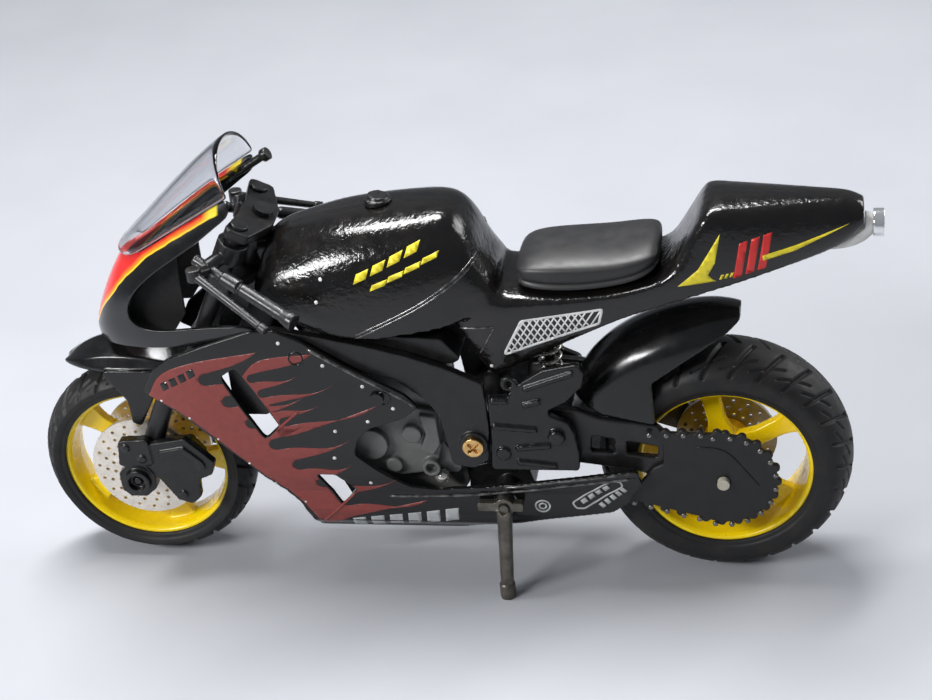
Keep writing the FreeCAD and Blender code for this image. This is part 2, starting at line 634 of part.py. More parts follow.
def tank_and_tail():
    """Tank, seat base and tail as one thin casting, open underneath."""
    outer = body_loft(TANK).fuse(body_loft(TAIL, straight=True))
    tank_rows = [(x + (1.4 if x < -30 else 0), h, t, w, b) for x, h, t, w, b in TANK]
    tail_rows = [(x - (2.0 if x > 93 else 0), h, t, w, b) for x, h, t, w, b in TAIL]
    inner_tank = body_loft(tank_rows, CAST_T, 6.0)
    inner_tail = body_loft(tail_rows, CAST_T, 6.0, True)
    shell = outer.cut(inner_tank).cut(inner_tail)
    web = plate([(9.4, 64.0), (13.0, 64.0), (16.0, 74.0), (13.0, 82.0), (10.0, 82.0)], -14.0, 14.0)
    shell = shell.fuse(web.common(outer))
    stem_room = rod(along_steer(-12), along_steer(14), 5.8)
    return shell.cut(stem_room).cut(plate(SPINE, -5.0, 5.0, 1.5))


def seat_pad():
    rows = ((22.6, 7.4, 77.2, 74.6), (25.5, 9.4, 79.0, 73.4), (33.0, 10.2, 79.4, 73.0),
            (42.0, 10.2, 79.6, 74.2), (49.0, 9.8, 80.6, 76.2), (52.4, 7.0, 80.2, 77.8))
    wires = []
    for x, half, top, low in rows:
        wires.append(hull_section(x, half, top, (top + low) / 2, low - 4.0))
    pad = Part.makeLoft(wires, True, False)
    return pad.cut(body_loft(TANK)).cut(body_loft(TAIL, straight=True))


def tail_light():
    """Clear moulding that closes the tail, and its round lens."""
    rows = ((84.5, 2.6, 83.2, 81.0, 77.6), (89.0, 3.0, 85.0, 82.0, 78.2), (93.6, 2.6, 85.2, 82.6, 79.8),
            (95.2, 1.8, 84.6, 82.8, 81.0))
    wires = []
    for x, half, top, waist, bottom in rows:
        wires.append(hull_section(x, half, top, waist, bottom))
    housing = Part.makeLoft(wires, True, False).cut(body_loft(TAIL, straight=True))
    lens = rod((95.2, 0, 82.9), (97.4, 0, 82.9), 2.9)
    return housing, lens


NOSE = (  # x, half width, top, waist height, bottom
    (-71.4, 3.4, 64.0, 61.0, 58.2),
    (-69.4, 6.6, 68.4, 63.0, 57.8),
    (-64.5, 9.6, 77.6, 66.0, 58.2),
    (-56.0, 12.6, 83.0, 68.0, 59.6),
    (-46.0, 13.8, 89.0, 72.0, 62.0),
    (-36.0, 13.2, 96.6, 78.0, 64.6),
)


def nose_cut(half):
    """Everything above the line where the screen meets the nose."""
    points = [(-63.6, 79.6), (-57.4, 77.8), (-53.6, 81.0), (-46.0, 86.6), (-40.0, 90.8), (-34.6, 94.0),
              (-30.0, 120.0), (-75.0, 120.0)]
    return plate(points, -half, half, 0.5)


def nose_room():
    """The space inside the nose cowl."""
    rows = [(x + (1.6 if x < -71 else 0.6), h, t, w, b) for x, h, t, w, b in NOSE[:-1]]
    rows.append((-34.0, 13.2, 98.0, 78.0, 64.6))
    return body_loft(rows, PANEL_T, 6.0)


def inner_panel():
    """Left inner wall of the nose, which closes the front of the side opening."""
    outline = [(-61.5, 60.6), (-61.0, 71.0), (-56.0, 76.5), (-50.0, 81.5), (-48.5, 82.5),
               (-48.5, 66.0), (-52.0, 61.0)]
    wall = plate(outline, -8.2, -7.4)
    return wall.common(nose_room())


def upper_fairing():
    """Nose cowl: thin shell, open at the back, underneath and at both sides."""
    outer = body_loft(NOSE)
    side_hole = plate([(-59.6, 71.0), (-56.2, 75.0), (-51.0, 80.4), (-45.0, 84.0), (-37.6, 89.6),
                       (-34.0, 92.6), (-30.0, 90.0), (-30.0, 66.6), (-55.6, 64.8), (-59.6, 66.8)],
                      -30, 30, 1.2)
    shell = outer.cut(nose_room()).cut(side_hole).cut(nose_cut(30))
    strip = plate([(-75.0, 50.0), (-30.0, 50.0), (-30.0, 64.6), (-52.0, 60.4), (-66.0, 58.6), (-69.0, 58.0)],
                  -30, 30, 0.5)
    return shell.cut(strip)


def windscreen():
    """Thin curved screen above the nose."""
    wires = []
    rows = ((-57.2, 8.4, 78.2, -62.4, 79.2), (-46.0, 10.0, 86.8, -49.6, 92.2),
            (-34.0, 10.8, 94.6, -36.6, 103.0))
    for x_side, half, z_side, x_top, z_top in rows:
        outer = Part.Arc(vec(x_side, -half, z_side), vec(x_top, 0, z_top),
                         vec(x_side, half, z_side)).toShape()
        rise = vec(x_top - x_side, 0, z_top - z_side)
        crown = vec(x_top, 0, z_top) - rise * (SCREEN_T / rise.Length)
        inner = Part.Arc(vec(x_side, -half + SCREEN_T, z_side), crown,
                         vec(x_side, half - SCREEN_T, z_side)).toShape()
        a = Part.makeLine(outer.valueAt(outer.FirstParameter), inner.valueAt(inner.FirstParameter))
        b = Part.makeLine(outer.valueAt(outer.LastParameter), inner.valueAt(inner.LastParameter))
        wires.append(Part.Wire(Part.sortEdges([outer, b, inner, a])[0]))
    return Part.makeLoft(wires, True, False)


SIDE_OUTLINE = ((-58.4, 50.8), (-55.6, 56.4), (-51.8, 59.8), (-43.4, 63.6), (-31.0, 66.4), (-21.8, 63.9),
                (-12.8, 57.8), (0.4, 50.6), (2.0, 48.0), (-1.8, 44.6), (-6.4, 42.8), (-10.6, 41.0),
                (-13.6, 37.4), (-13.2, 35.0), (-4.4, 28.6), (2.0, 25.4), (12.0, 25.0), (30.0, 28.4),
                (47.6, 31.6), (48.0, 27.0), (41.4, 19.4), (25.0, 16.4), (-6.0, 9.4), (-20.0, 9.4),
                (-25.2, 13.0), (-27.4, 21.2), (-38.0, 33.6), (-49.6, 45.0))
SLOT_A = ((-40.0, 55.4), (-36.6, 57.0), (-32.6, 50.4), (-29.0, 43.0), (-32.6, 39.8), (-36.4, 47.8))
SLOT_B = ((-22.6, 30.0), (-18.6, 29.8), (-14.4, 25.4), (-18.4, 21.0))


def side_fairing():
    """Left side panel and belly half: a thin skin bent inwards at the bottom."""
    skin = [(-16.4, 72.0), (-16.6, 40.0), (-16.0, 30.0), (-14.3, 25.4), (-13.9, 19.0), (-10.4, 13.0),
            (-5.0, 10.6), (-0.3, 9.6)]
    back = [(min(y + PANEL_T, -0.3), z + (0.9 if z < 20 else 0.0)) for y, z in skin]
    points = [vec(-70, y, z) for y, z in skin] + [vec(-70, y, z) for y, z in reversed(back)]
    band = Part.Face(Part.makePolygon(points + [points[0]])).extrude(vec(130, 0, 0))
    panel = band.common(plate(SIDE_OUTLINE, -30, 0, 1.0))
    panel = panel.cut(plate(SLOT_A, -30, 0, 0.6)).cut(plate(SLOT_B, -30, 0, 0.6))
    panel = panel.cut(cross((-6.8, 50.5), -30, 0, 0.9))
    return panel.cut(cross((STAND_X, STAND_Z), -30, 0, 2.7))


def screen_stay():
    """Round stay with a knob on its end, inside the right rear corner of the screen."""
    low = (-40.4, 8.5, 89.4)
    high = (-31.0, 8.5, 95.2)
    stay = rod(low, high, 0.9)
    knob = rod(toward(low, high, 0.95), toward(low, high, 1.1), 1.45)
    peg = rod(toward(low, high, 0.12), (-39.2, 15.0, 90.0), 0.8)
    return joined([stay, knob, peg])


def screws():
    """Screws of the side panels."""
    heads = []
    for sign in (-1, 1):
        heads.append(joined([cross((-6.8, 50.5), *sorted((sign * 16.6, sign * 17.5)), 1.5),
                             cross((-6.8, 50.5), *sorted((sign * 14.4, sign * 16.6)), 0.9)]))
    save("fairing_screws", Part.makeCompound(heads))


def shells():
    body = tank_and_tail()
    save("tank_and_tail", body)
    cap = joined([rod((-5.8, 0, 86.6), (-5.6, 0, 89.4), 2.9), rod((-5.6, 0, 89.3), (-5.5, 0, 90.0), 2.2)])
    save("fuel_cap", cap.cut(body_loft(TANK)))
    save("seat_pad", seat_pad())
    housing, lens = tail_light()
    save("tail_light_housing", housing)
    save("tail_light_lens", lens)
    cowl = upper_fairing()
    save("upper_fairing", cowl)
    wall = inner_panel()
    save("inner_panel_left", wall)
    save("inner_panel_right", mirrored(wall))
    save("screen_stay", largest(screen_stay().cut(cowl)))
    save("windscreen", largest(windscreen().cut(cowl)))
    panel = side_fairing()
    save("side_fairing_left", panel)
    save("side_fairing_right", mirrored(panel))
    screws()


def chassis():
    save("main_frame", main_frame())
    save("engine_block", engine_block())
    save("radiator", radiator())
    save("air_box", air_box())
    save("engine_cover_left", engine_cover())
    save("engine_cover_right", mirrored(engine_cover()))
    save("frame_plate_left", frame_plate())
    save("frame_plate_right", mirrored(frame_plate()))
    save("footrest_bracket_left", footrest_bracket())
    save("footrest_bracket_right", mirrored(footrest_bracket()))
    ball = Part.makeSphere(1.7, vec(4.2, -10.6, 26.8))
    save("oil_cap", ball.cut(engine_block()).cut(engine_cover()))
    chassis_small()
    save("stand_leg", stand_leg())


wheels()
steering()
chassis()
rear_end()
shells()
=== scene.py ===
"""Looks of the toy racing motorcycle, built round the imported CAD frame.

Points are written in millimetres about the middle of the wheelbase on the
ground, as in the part's source: X to the rear, Y to the machine's right, Z up.
at() turns them into the frame's metres.  The left side, at -Y, has the stand.
"""
import json
import math

import bmesh
import bpy
import numpy as np
from mathutils import Matrix, Vector
from mathutils.bvhtree import BVHTree


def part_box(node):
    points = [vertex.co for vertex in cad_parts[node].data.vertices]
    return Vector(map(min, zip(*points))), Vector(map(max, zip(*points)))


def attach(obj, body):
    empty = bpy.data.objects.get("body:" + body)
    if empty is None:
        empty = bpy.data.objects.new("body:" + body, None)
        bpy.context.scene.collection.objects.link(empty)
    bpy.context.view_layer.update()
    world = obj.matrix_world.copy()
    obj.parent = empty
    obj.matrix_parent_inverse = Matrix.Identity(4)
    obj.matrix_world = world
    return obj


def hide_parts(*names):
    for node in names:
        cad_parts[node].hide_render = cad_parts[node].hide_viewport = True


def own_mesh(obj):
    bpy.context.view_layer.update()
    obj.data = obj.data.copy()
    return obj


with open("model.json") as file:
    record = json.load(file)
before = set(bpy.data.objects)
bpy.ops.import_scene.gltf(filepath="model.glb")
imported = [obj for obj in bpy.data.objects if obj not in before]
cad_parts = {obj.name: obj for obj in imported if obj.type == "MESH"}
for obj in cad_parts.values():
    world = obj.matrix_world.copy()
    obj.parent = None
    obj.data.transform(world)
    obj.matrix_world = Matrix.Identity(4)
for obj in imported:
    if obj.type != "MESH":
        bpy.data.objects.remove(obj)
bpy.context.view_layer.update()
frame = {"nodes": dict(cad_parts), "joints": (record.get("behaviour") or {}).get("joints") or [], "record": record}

MM = 0.001
JOINTS = {joint["name"]: joint for joint in frame["joints"]}
FRONT_AXLE = Vector(JOINTS["front_wheel_spin"]["pos_m"])
REAR_AXLE = Vector(JOINTS["rear_wheel_spin"]["pos_m"])
MIDDLE_X = (FRONT_AXLE.x + REAR_AXLE.x) / 2
BODY_OF = {node: body for body, nodes in frame["record"]["behaviour"]["bodies"].items() for node in nodes}
SLOT_OF = {part["node"]: part["material_slot"] for part in frame["record"]["subparts"]}


def at(x, y, z):
    """A point in millimetres about the wheelbase's middle, as a frame point."""
    return Vector((MIDDLE_X + x * MM, y * MM, z * MM))


# ------------------------------------------------------------------ materials
class Surface:
    """A Principled material that is built up from noise, bump and colour mixes."""

    def __init__(self, name, color, rough, metallic=0.0, coat=0.0, specular=0.5):
        self.material = bpy.data.materials.new(name)
        self.material.use_nodes = True
        self.tree = self.material.node_tree
        self.nodes = self.tree.nodes
        self.shader = self.nodes["Principled BSDF"]
        self.color = color
        self.set(self.shader, Base_Color=(*color, 1), Roughness=rough, Metallic=metallic, Coat_Weight=coat,
                 Coat_Roughness=0.08, Specular_IOR_Level=specular)
        self.place = self.nodes.new("ShaderNodeTexCoord").outputs["Object"]
        self.rough = rough
        self.height = None

    def link(self, a, b):
        self.tree.links.new(a, b)

    def set(self, node, **inputs):
        """Sets a node's own sockets, with _ for each space in their names."""
        for name, value in inputs.items():
            node.inputs[name.replace("_", " ")].default_value = value

    def add(self, kind, **inputs):
        node = self.nodes.new("ShaderNode" + kind)
        self.set(node, **inputs)
        return node

    def feed(self, socket, value):
        """Links a socket to another, or else gives it a number or a colour."""
        if isinstance(value, bpy.types.NodeSocket):
            self.link(value, socket)
        else:
            socket.default_value = value if isinstance(value, float) else (*value, 1)

    def noise(self, size_mm, detail=2.0, rough=0.5, stretch=None):
        """Noise whose lumps are about size_mm across."""
        node = self.add("TexNoise", Scale=1.0 / (size_mm * MM), Detail=detail, Roughness=rough)
        place = self.place
        if stretch:
            scale = self.add("Mapping", Scale=stretch)
            self.link(place, scale.inputs["Vector"])
            place = scale.outputs["Vector"]
        self.link(place, node.inputs["Vector"])
        return node.outputs["Fac"]

    def cells(self, size_mm):
        """Distance to the edges of cells about size_mm across."""
        node = self.nodes.new("ShaderNodeTexVoronoi")
        node.feature = "DISTANCE_TO_EDGE"
        self.set(node, Scale=1.0 / (size_mm * MM))
        self.link(self.place, node.inputs["Vector"])
        return node.outputs["Distance"]

    def span(self, value, low, high, to_low=0.0, to_high=1.0):
        """Value from low..high mapped to to_low..to_high, clamped."""
        node = self.add("MapRange", From_Min=low, From_Max=high, To_Min=to_low, To_Max=to_high)
        self.link(value, node.inputs["Value"])
        return node.outputs["Result"]

    def mix(self, factor, a, b):
        """Colour a where factor is 0, b where it is 1; each a colour or a socket."""
        node = self.nodes.new("ShaderNodeMix")
        node.data_type = "RGBA"
        self.link(factor, node.inputs["Factor"])
        self.feed(node.inputs[6], a)
        self.feed(node.inputs[7], b)
        return node.outputs[2]

    def math(self, operation, a, b=0.0):
        node = self.nodes.new("ShaderNodeMath")
        node.operation = operation
        self.feed(node.inputs[0], a)
        self.feed(node.inputs[1], b)
        return node.outputs[0]

    def base(self, color):
        self.link(color, self.shader.inputs["Base Color"])
        return self

    def mottle(self, other, size_mm, low=0.35, high=0.75):
        """Blotches of another colour."""
        return self.base(self.mix(self.span(self.noise(size_mm, 4), low, high), self.color, other))

    def uneven_gloss(self, size_mm, spread):
        """Roughness that wanders about its mean."""
        smoothest = max(self.rough - spread, 0.02)
        value = self.span(self.noise(size_mm, 3), 0.3, 0.7, smoothest, self.rough + spread)
        self.link(value, self.shader.inputs["Roughness"])
        return self

    def bump(self, value, depth_mm, strength=1.0):
        """Adds a bump layer of the given depth."""
        node = self.add("Bump", Distance=depth_mm * MM, Strength=strength)
        self.link(value, node.inputs["Height"])
        if self.height is not None:
            self.link(self.height, node.inputs["Normal"])
        self.height = node.outputs["Normal"]
        self.link(self.height, self.shader.inputs["Normal"])
        return self

    def worn(self, metal):
        """Shows another colour along sharp edges, where paint has rubbed off."""
        bevel = self.nodes.new("ShaderNodeNewGeometry").outputs["Pointiness"]
        edge = self.span(bevel, 0.53, 0.60)
        patch = self.span(self.noise(1.6, 4), 0.42, 0.62)
        self.base(self.mix(self.math("MULTIPLY", edge, patch), self.color, metal))
        return self


def cast_black():
    """Thick gloss paint on a rough casting: orange peel and fine crazing."""
    s = Surface("cast_black_paint", (0.0038, 0.0036, 0.0038), 0.17, coat=0.2, specular=0.4)
    s.mottle((0.0085, 0.0068, 0.0055), 5.0)
    s.uneven_gloss(2.2, 0.07)
    s.bump(s.noise(1.3, 2.2, 0.55), 0.16, 0.75)
    s.bump(s.span(s.cells(1.9), 0.0, 0.10), 0.03, 0.40)
    return s.material


def coated(name, color, rough, blotch=None, gloss=None, bumps=(), **look):
    """A finish of blotches, wandering gloss and layers of fine bump.

    blotch is a colour and a size, gloss a size and a spread, and each bump a
    size, a detail, a depth and a strength.  Sizes and depths are in mm.
    """
    s = Surface(name, color, rough, **look)
    if blotch:
        s.mottle(*blotch)
    if gloss:
        s.uneven_gloss(*gloss)
    for size_mm, detail, depth_mm, strength in bumps:
        s.bump(s.noise(size_mm, detail), depth_mm, strength)
    return s


def satin_black(name="satin_black_moulding", tone=0.0075, rough=0.34):
    blotch = ((tone * 1.8, tone * 1.7, tone * 1.7), 3.0)
    return coated(name, (tone, tone, tone * 1.06), rough, blotch, (1.5, 0.08), ((0.35, 3, 0.012, 0.5),),
                  specular=0.4).material


def worn_black():
    s = Surface("worn_black_moulding", (0.0095, 0.0095, 0.0105), 0.34)
    s.worn((0.33, 0.31, 0.28))
    s.uneven_gloss(1.5, 0.10)
    s.bump(s.noise(0.5, 3), 0.02, 0.6)
    return s.material


def rim_yellow():
    s = coated("rim_yellow_moulding", (0.95, 0.70, 0.004), 0.26, ((0.93, 0.63, 0.003), 9.0), (3.0, 0.05),
               ((1.8, 2, 0.02, 0.3),), coat=0.2)
    s.set(s.shader, Subsurface_Weight=0.08, Subsurface_Radius=(0.0012, 0.0007, 0.0001), Subsurface_Scale=1.0)
    return s.material


def brushed(name, color, rough, other):
    """Metal-coloured plating with a fine grain and dull spots."""
    bumps = ((0.25, 2, 0.01, 0.5),)
    return coated(name, color, rough, (other, 2.4), (0.8, 0.08), bumps, metallic=0.75).material


def brass():
    s = Surface("brass_turned", (0.78, 0.50, 0.20), 0.24, metallic=1.0)
    s.mottle((0.50, 0.31, 0.12), 1.2)
    s.bump(s.noise(0.2, 2, stretch=(1, 6, 1)), 0.01, 0.5)
    return s.material


def clear_screen():
    s = Surface("clear_screen_moulding", (0.90, 0.91, 0.93), 0.03)
    s.set(s.shader, Transmission_Weight=1.0, IOR=1.46)
    s.bump(s.noise(3.0, 2), 0.03, 0.25)
    return s.material


def lamp_clear():
    s = coated("lamp_clear_moulding", (0.90, 0.90, 0.87), 0.16, ((0.80, 0.79, 0.75), 2.0),
               bumps=((1.0, 2, 0.03, 0.4),))
    s.set(s.shader, Transmission_Weight=0.35)
    return s.material


def ink(name, color, rough=0.42, other=None):
    """Printed paint, a little uneven."""
    blotch = (other or tuple(0.8 * c for c in color), 1.4, 0.35, 0.8)
    return coated(name, color, rough, blotch, bumps=((0.3, 3, 0.008, 0.5),)).material


NOSE_BLACK = (0.005, 0.005, 0.0055)
NOSE_LINE = ((-72.0, 56.0), (-70.0, 60.0), (-68.2, 65.1), (-63.1, 71.8), (-56.0, 79.1), (-45.9, 86.0),
             (-36.9, 91.3), (-34.0, 93.0))


def nose_paint():
    """Black below a rising line, then yellow, orange and red above it."""
    s = Surface("nose_paint", NOSE_BLACK, 0.20, coat=0.2)
    axes = s.nodes.new("ShaderNodeSeparateXYZ")
    s.link(s.place, axes.inputs["Vector"])
    low_x = MIDDLE_X + NOSE_LINE[0][0] * MM
    high_x = MIDDLE_X + NOSE_LINE[-1][0] * MM
    low_z = NOSE_LINE[0][1] * MM
    high_z = NOSE_LINE[-1][1] * MM
    curve = s.nodes.new("ShaderNodeFloatCurve")
    points = curve.mapping.curves[0].points
    for k, (x, z) in enumerate(NOSE_LINE):
        u = (MIDDLE_X + x * MM - low_x) / (high_x - low_x)
        v = (z * MM - low_z) / (high_z - low_z)
        if k == 0:
            points[0].location = (u, v)
        elif k == len(NOSE_LINE) - 1:
            points[1].location = (u, v)
        else:
            points.new(u, v)
    curve.mapping.update()
    s.link(s.span(axes.outputs["X"], low_x, high_x), curve.inputs["Value"])
    line = s.span(curve.outputs["Value"], 0.0, 1.0, low_z, high_z)
    above = s.math("SUBTRACT", axes.outputs["Z"], line)
    wobble = s.span(s.noise(5.0, 2), 0.3, 0.7, -0.0002, 0.0002)
    above = s.math("ADD", above, wobble)
    edge = s.span(above, -0.00012, 0.00012)
    orange = s.span(above, 0.0002, 0.0005)
    red = s.span(above, 0.0006, 0.0014)
    paint = s.mix(orange, (0.86, 0.55, 0.03), (0.82, 0.20, 0.012))
    paint = s.mix(red, paint, (0.60, 0.022, 0.018))
    rear = s.span(axes.outputs["X"], MIDDLE_X - 40.5 * MM, MIDDLE_X - 38.5 * MM)
    paint = s.mix(rear, paint, (0.80, 0.62, 0.03))
    end = s.span(axes.outputs["X"], MIDDLE_X - 37.0 * MM, MIDDLE_X - 36.4 * MM)
    paint = s.mix(end, paint, NOSE_BLACK)
    s.base(s.mix(edge, NOSE_BLACK, paint))
    s.uneven_gloss(2.6, 0.06)
    s.bump(s.noise(1.6, 2), 0.04, 0.4)
    return s.material


M = {
    "cast": cast_black(),
    "satin": satin_black(),
    "dark": satin_black("dull_black_moulding", 0.0065, 0.46),
    # Darker, duller black for the inner panels inside the nose cowl: painted shade of the hollow behind its
    # opening.
    "cavity_shade": satin_black("inner_black_painted_shade", 0.0030, 0.75),
    "gloss": coated("gloss_black_panel", (0.0042, 0.0042, 0.0046), 0.22, ((0.0075, 0.0070, 0.0070), 6.0),
                    (3.0, 0.06), ((2.6, 2, 0.03, 0.30), (0.4, 2, 0.006, 0.4)),
                    coat=0.1, specular=0.4).material,
    "shine": satin_black("shiny_black_moulding", 0.0060, 0.22),
    "worn": worn_black(),
    "seat": coated("seat_moulding", (0.012, 0.012, 0.013), 0.44, ((0.020, 0.019, 0.019), 7.0), (2.5, 0.05),
                   ((0.28, 3, 0.010, 0.5),)).material,
    "rubber": coated("tyre_rubber", (0.0085, 0.0085, 0.009), 0.55, ((0.022, 0.018, 0.015), 4.5, 0.45, 0.85),
                     (2.0, 0.08), ((0.30, 4, 0.02, 0.5),), specular=0.35).material,
    "rim": rim_yellow(),
    # Lighter black, partly metallic, with pale blotches, for the raised lines: painted highlight along them.
    "highlight_line": coated("painted_highlight_black_line", (0.030, 0.029, 0.028), 0.16,
                     ((0.16, 0.155, 0.15), 1.6, 0.40, 0.66), (1.0, 0.06), ((0.4, 2, 0.01, 0.4),),
                     metallic=0.45, coat=0.5).material,
    "chain": brushed("chain_dark_metal", (0.20, 0.19, 0.18), 0.22, (0.10, 0.10, 0.10)),
    "aged": brushed("stand_aged_metal", (0.085, 0.078, 0.066), 0.34, (0.17, 0.155, 0.13)),
    "disc": brushed("disc_pearl", (0.80, 0.74, 0.66), 0.34, (0.62, 0.57, 0.50)),
    "disc_dark": brushed("disc_gunmetal", (0.30, 0.27, 0.23), 0.36, (0.20, 0.18, 0.16)),
    "steel": brushed("pin_steel", (0.66, 0.64, 0.58), 0.25, (0.45, 0.43, 0.40)),
    "pin": ink("pin_cream", (0.42, 0.39, 0.31), 0.40),
    "engine": coated("engine_grey_moulding", (0.078, 0.080, 0.076), 0.40, ((0.115, 0.115, 0.108), 4.0),
                     bumps=((0.5, 3, 0.02, 0.5),)).material,
    "brass": brass(),
    "screen": clear_screen(),
    "lamp": lamp_clear(),
    "lens": coated("lamp_silver_plating", (0.86, 0.87, 0.88), 0.12, None, (1.0, 0.06),
                   ((0.8, 2, 0.02, 0.4),), metallic=0.9).material,
    "nose": nose_paint(),
    "flame": ink("flame_red_print", (0.21, 0.033, 0.026), 0.38, (0.165, 0.026, 0.020)),
    "white": ink("white_print", (0.74, 0.74, 0.72), 0.45),
    "grey": ink("grey_print", (0.40, 0.41, 0.41), 0.45),
    "yellow": ink("yellow_print", (0.80, 0.66, 0.02), 0.40),
    "red": ink("red_print", (0.62, 0.022, 0.018), 0.40),
}


# -------------------------------------------------------------- mesh building
def placed(name, data):
    """A new object that shows the data, in the scene."""
    obj = bpy.data.objects.new(name, data)
    bpy.context.scene.collection.objects.link(obj)
    return obj


def raw_mesh(name, verts, faces):
    mesh = bpy.data.meshes.new(name)
    mesh.from_pydata([tuple(v) for v in verts], [], faces)
    return mesh


def cleaned(mesh, weld_mm=0.0, turn_out=False):
    """Joins the mesh's points that lie closer than weld_mm, and turns its faces outwards."""
    bm = bmesh.new()
    bm.from_mesh(mesh)
    if weld_mm:
        bmesh.ops.remove_doubles(bm, verts=bm.verts, dist=weld_mm * MM)
    if turn_out:
        bmesh.ops.recalc_face_normals(bm, faces=bm.faces)
    bm.to_mesh(mesh)
    bm.free()
    return mesh


def evaluated_mesh(obj):
    """A new mesh with the object's modifiers applied."""
    bpy.context.view_layer.update()
    return bpy.data.meshes.new_from_object(obj.evaluated_get(bpy.context.evaluated_depsgraph_get()))


def piece(name, verts, faces, material, body, slot, replaces=(), smooth=True):
    """A mesh object that rides on a body and stands for CAD nodes."""
    mesh = raw_mesh(name, verts, faces)
    mesh.validate()
    return finish_piece(name, mesh, material, body, replaces, smooth)


def finish_piece(name, mesh, material, body, replaces=(), smooth=True):
    mesh.materials.clear()
    mesh.materials.append(material)
    mesh.polygons.foreach_set("use_smooth", [smooth] * len(mesh.polygons))
    obj = placed(name, mesh)
    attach(obj, body)
    if replaces:
        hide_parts(*replaces)
    return obj


def modifier(obj, kind, **settings):
    made = obj.modifiers.new(kind.lower(), kind)
    for key, value in settings.items():
        setattr(made, key, value)
    return made


def soften(obj, voxel_mm, rounds=4, factor=0.5):
    """Turns a hard mesh into one that looks moulded, with small radii on its edges."""
    modifier(obj, "REMESH", mode="VOXEL", voxel_size=voxel_mm * MM, use_smooth_shade=True)
    modifier(obj, "SMOOTH", factor=factor, iterations=rounds)
    return obj


def moulded(node, material, voxel_mm=0.24, rounds=4):
    """The CAD node's own shape with the soft edges of a casting."""
    mesh = cleaned(frame["nodes"][node].data.copy(), 0.02)
    obj = finish_piece(node + "_moulding", mesh, material, BODY_OF[node], [node])
    return soften(obj, voxel_mm, rounds)


def repaint(node, material):
    """Gives a CAD node that stays its own material."""
    mesh = frame["nodes"][node].data
    mesh.materials.clear()
    mesh.materials.append(material)


def baked(obj):
    """Applies the modifiers of an object to its mesh."""
    mesh = evaluated_mesh(obj)
    mesh.name = obj.name
    obj.modifiers.clear()
    obj.data = mesh
    return obj


def relax(mesh, weight, rounds):
    """Draws each vertex to the mean of its neighbours, as far as weight(x, z) says."""
    count = len(mesh.vertices)
    place = np.empty(count * 3)
    mesh.vertices.foreach_get("co", place)
    place = place.reshape(-1, 3)
    ends = np.empty(len(mesh.edges) * 2, dtype=np.int32)
    mesh.edges.foreach_get("vertices", ends)
    a, b = ends[0::2], ends[1::2]
    valence = np.maximum(np.bincount(a, minlength=count) + np.bincount(b, minlength=count), 1)
    pull = weight((place[:, 0] - MIDDLE_X) / MM, place[:, 2] / MM)
    for _ in range(rounds):
        for axis in range(3):
            column = place[:, axis]
            total = np.bincount(a, column[b], count) + np.bincount(b, column[a], count)
            place[:, axis] = column + pull * (total / valence - column)
    mesh.vertices.foreach_set("co", place.ravel())
    mesh.update()


def facing(obj):
    """A function of x, z that gives how far the object's outside stands from the centre plane."""
    tree = BVHTree.FromObject(obj, bpy.context.evaluated_depsgraph_get())

    def surface(x, z):
        hit = tree.ray_cast(at(x, -60.0, z), Vector((0, 1, 0)))[0]
        return -hit.y / MM if hit is not None else 0.0
    return surface


def grown(points, amount):
    """A closed outline moved outwards by an amount."""
    area = sum(p[0] * q[1] - q[0] * p[1] for p, q in zip(points, points[1:] + points[:1]))
    turn = 1 if area > 0 else -1
    result = []
    for i, here in enumerate(points):
        back, ahead = points[i - 1], points[(i + 1) % len(points)]
        along = Vector((ahead[0] - back[0], ahead[1] - back[1])).normalized()
        result.append((here[0] + turn * amount * along.y, here[1] - turn * amount * along.x))
    return result


def circle(x, z, radius, count):
    return [(x + radius * math.cos(k * math.tau / count), z + radius * math.sin(k * math.tau / count))
            for k in range(count)]


def inside(outline, x, z):
    """Whether a point lies within a closed outline."""
    odd = False
    for (x0, z0), (x1, z1) in zip(outline, outline[1:] + outline[:1]):
        if (z0 > z) != (z1 > z) and x < (x1 - x0) * (z - z0) / (z1 - z0) + x0:
            odd = not odd
    return odd


PRINT_LIFT = 0.05
PRINT_THICKNESS = 0.12


def print_mesh(outlines, surface, lift, holes=(), step=0.9):
    """Flat print of the outlines' shape laid on the left side of surface(x, z)."""
    flat = flat_shape(outlines)
    bm = bmesh.new()
    bm.from_mesh(flat)

    def slice_at(place, normal):
        bmesh.ops.bisect_plane(bm, geom=bm.verts[:] + bm.edges[:] + bm.faces[:], dist=1e-8,
                               plane_co=place, plane_no=normal)

    for hole in holes:
        for (x0, z0), (x1, z1) in zip(hole, hole[1:] + hole[:1]):
            across = Vector((z1 - z0, x0 - x1, 0))
            if across.length > 0.01:
                slice_at((x0 * MM, z0 * MM, 0), across)
    for axis, normal in ((0, (1, 0, 0)), (1, (0, 1, 0))):
        low = min(v.co[axis] for v in bm.verts) / MM
        high = max(v.co[axis] for v in bm.verts) / MM
        for k in range(math.ceil(low / step), math.floor(high / step) + 1):
            place = Vector((0, 0, 0))
            place[axis] = k * step * MM
            slice_at(place, normal)
    covered = []
    for face in bm.faces:
        x, z = (c / MM for c in face.calc_center_median()[:2])
        if any(inside(hole, x, z) for hole in holes):
            covered.append(face)
    bmesh.ops.delete(bm, geom=covered, context="FACES")
    mesh = bpy.data.meshes.new("print")
    bm.to_mesh(mesh)
    bm.free()
    bpy.data.meshes.remove(flat)
    for v in mesh.vertices:
        x, z = v.co.x / MM, v.co.y / MM
        v.co = at(x, -surface(x, z) - lift, z)
    return mesh


def both_sides(name, mesh, material, body):
    """The mesh as made on the left, and its mirror image on the right."""
    made = []
    for side in ("left", "right"):
        copy = mesh.copy()
        if side == "right":
            for v in copy.vertices:
                v.co.y = -v.co.y
            copy.flip_normals()
        made.append(finish_piece(name + "_" + side, copy, material, body))
    return made


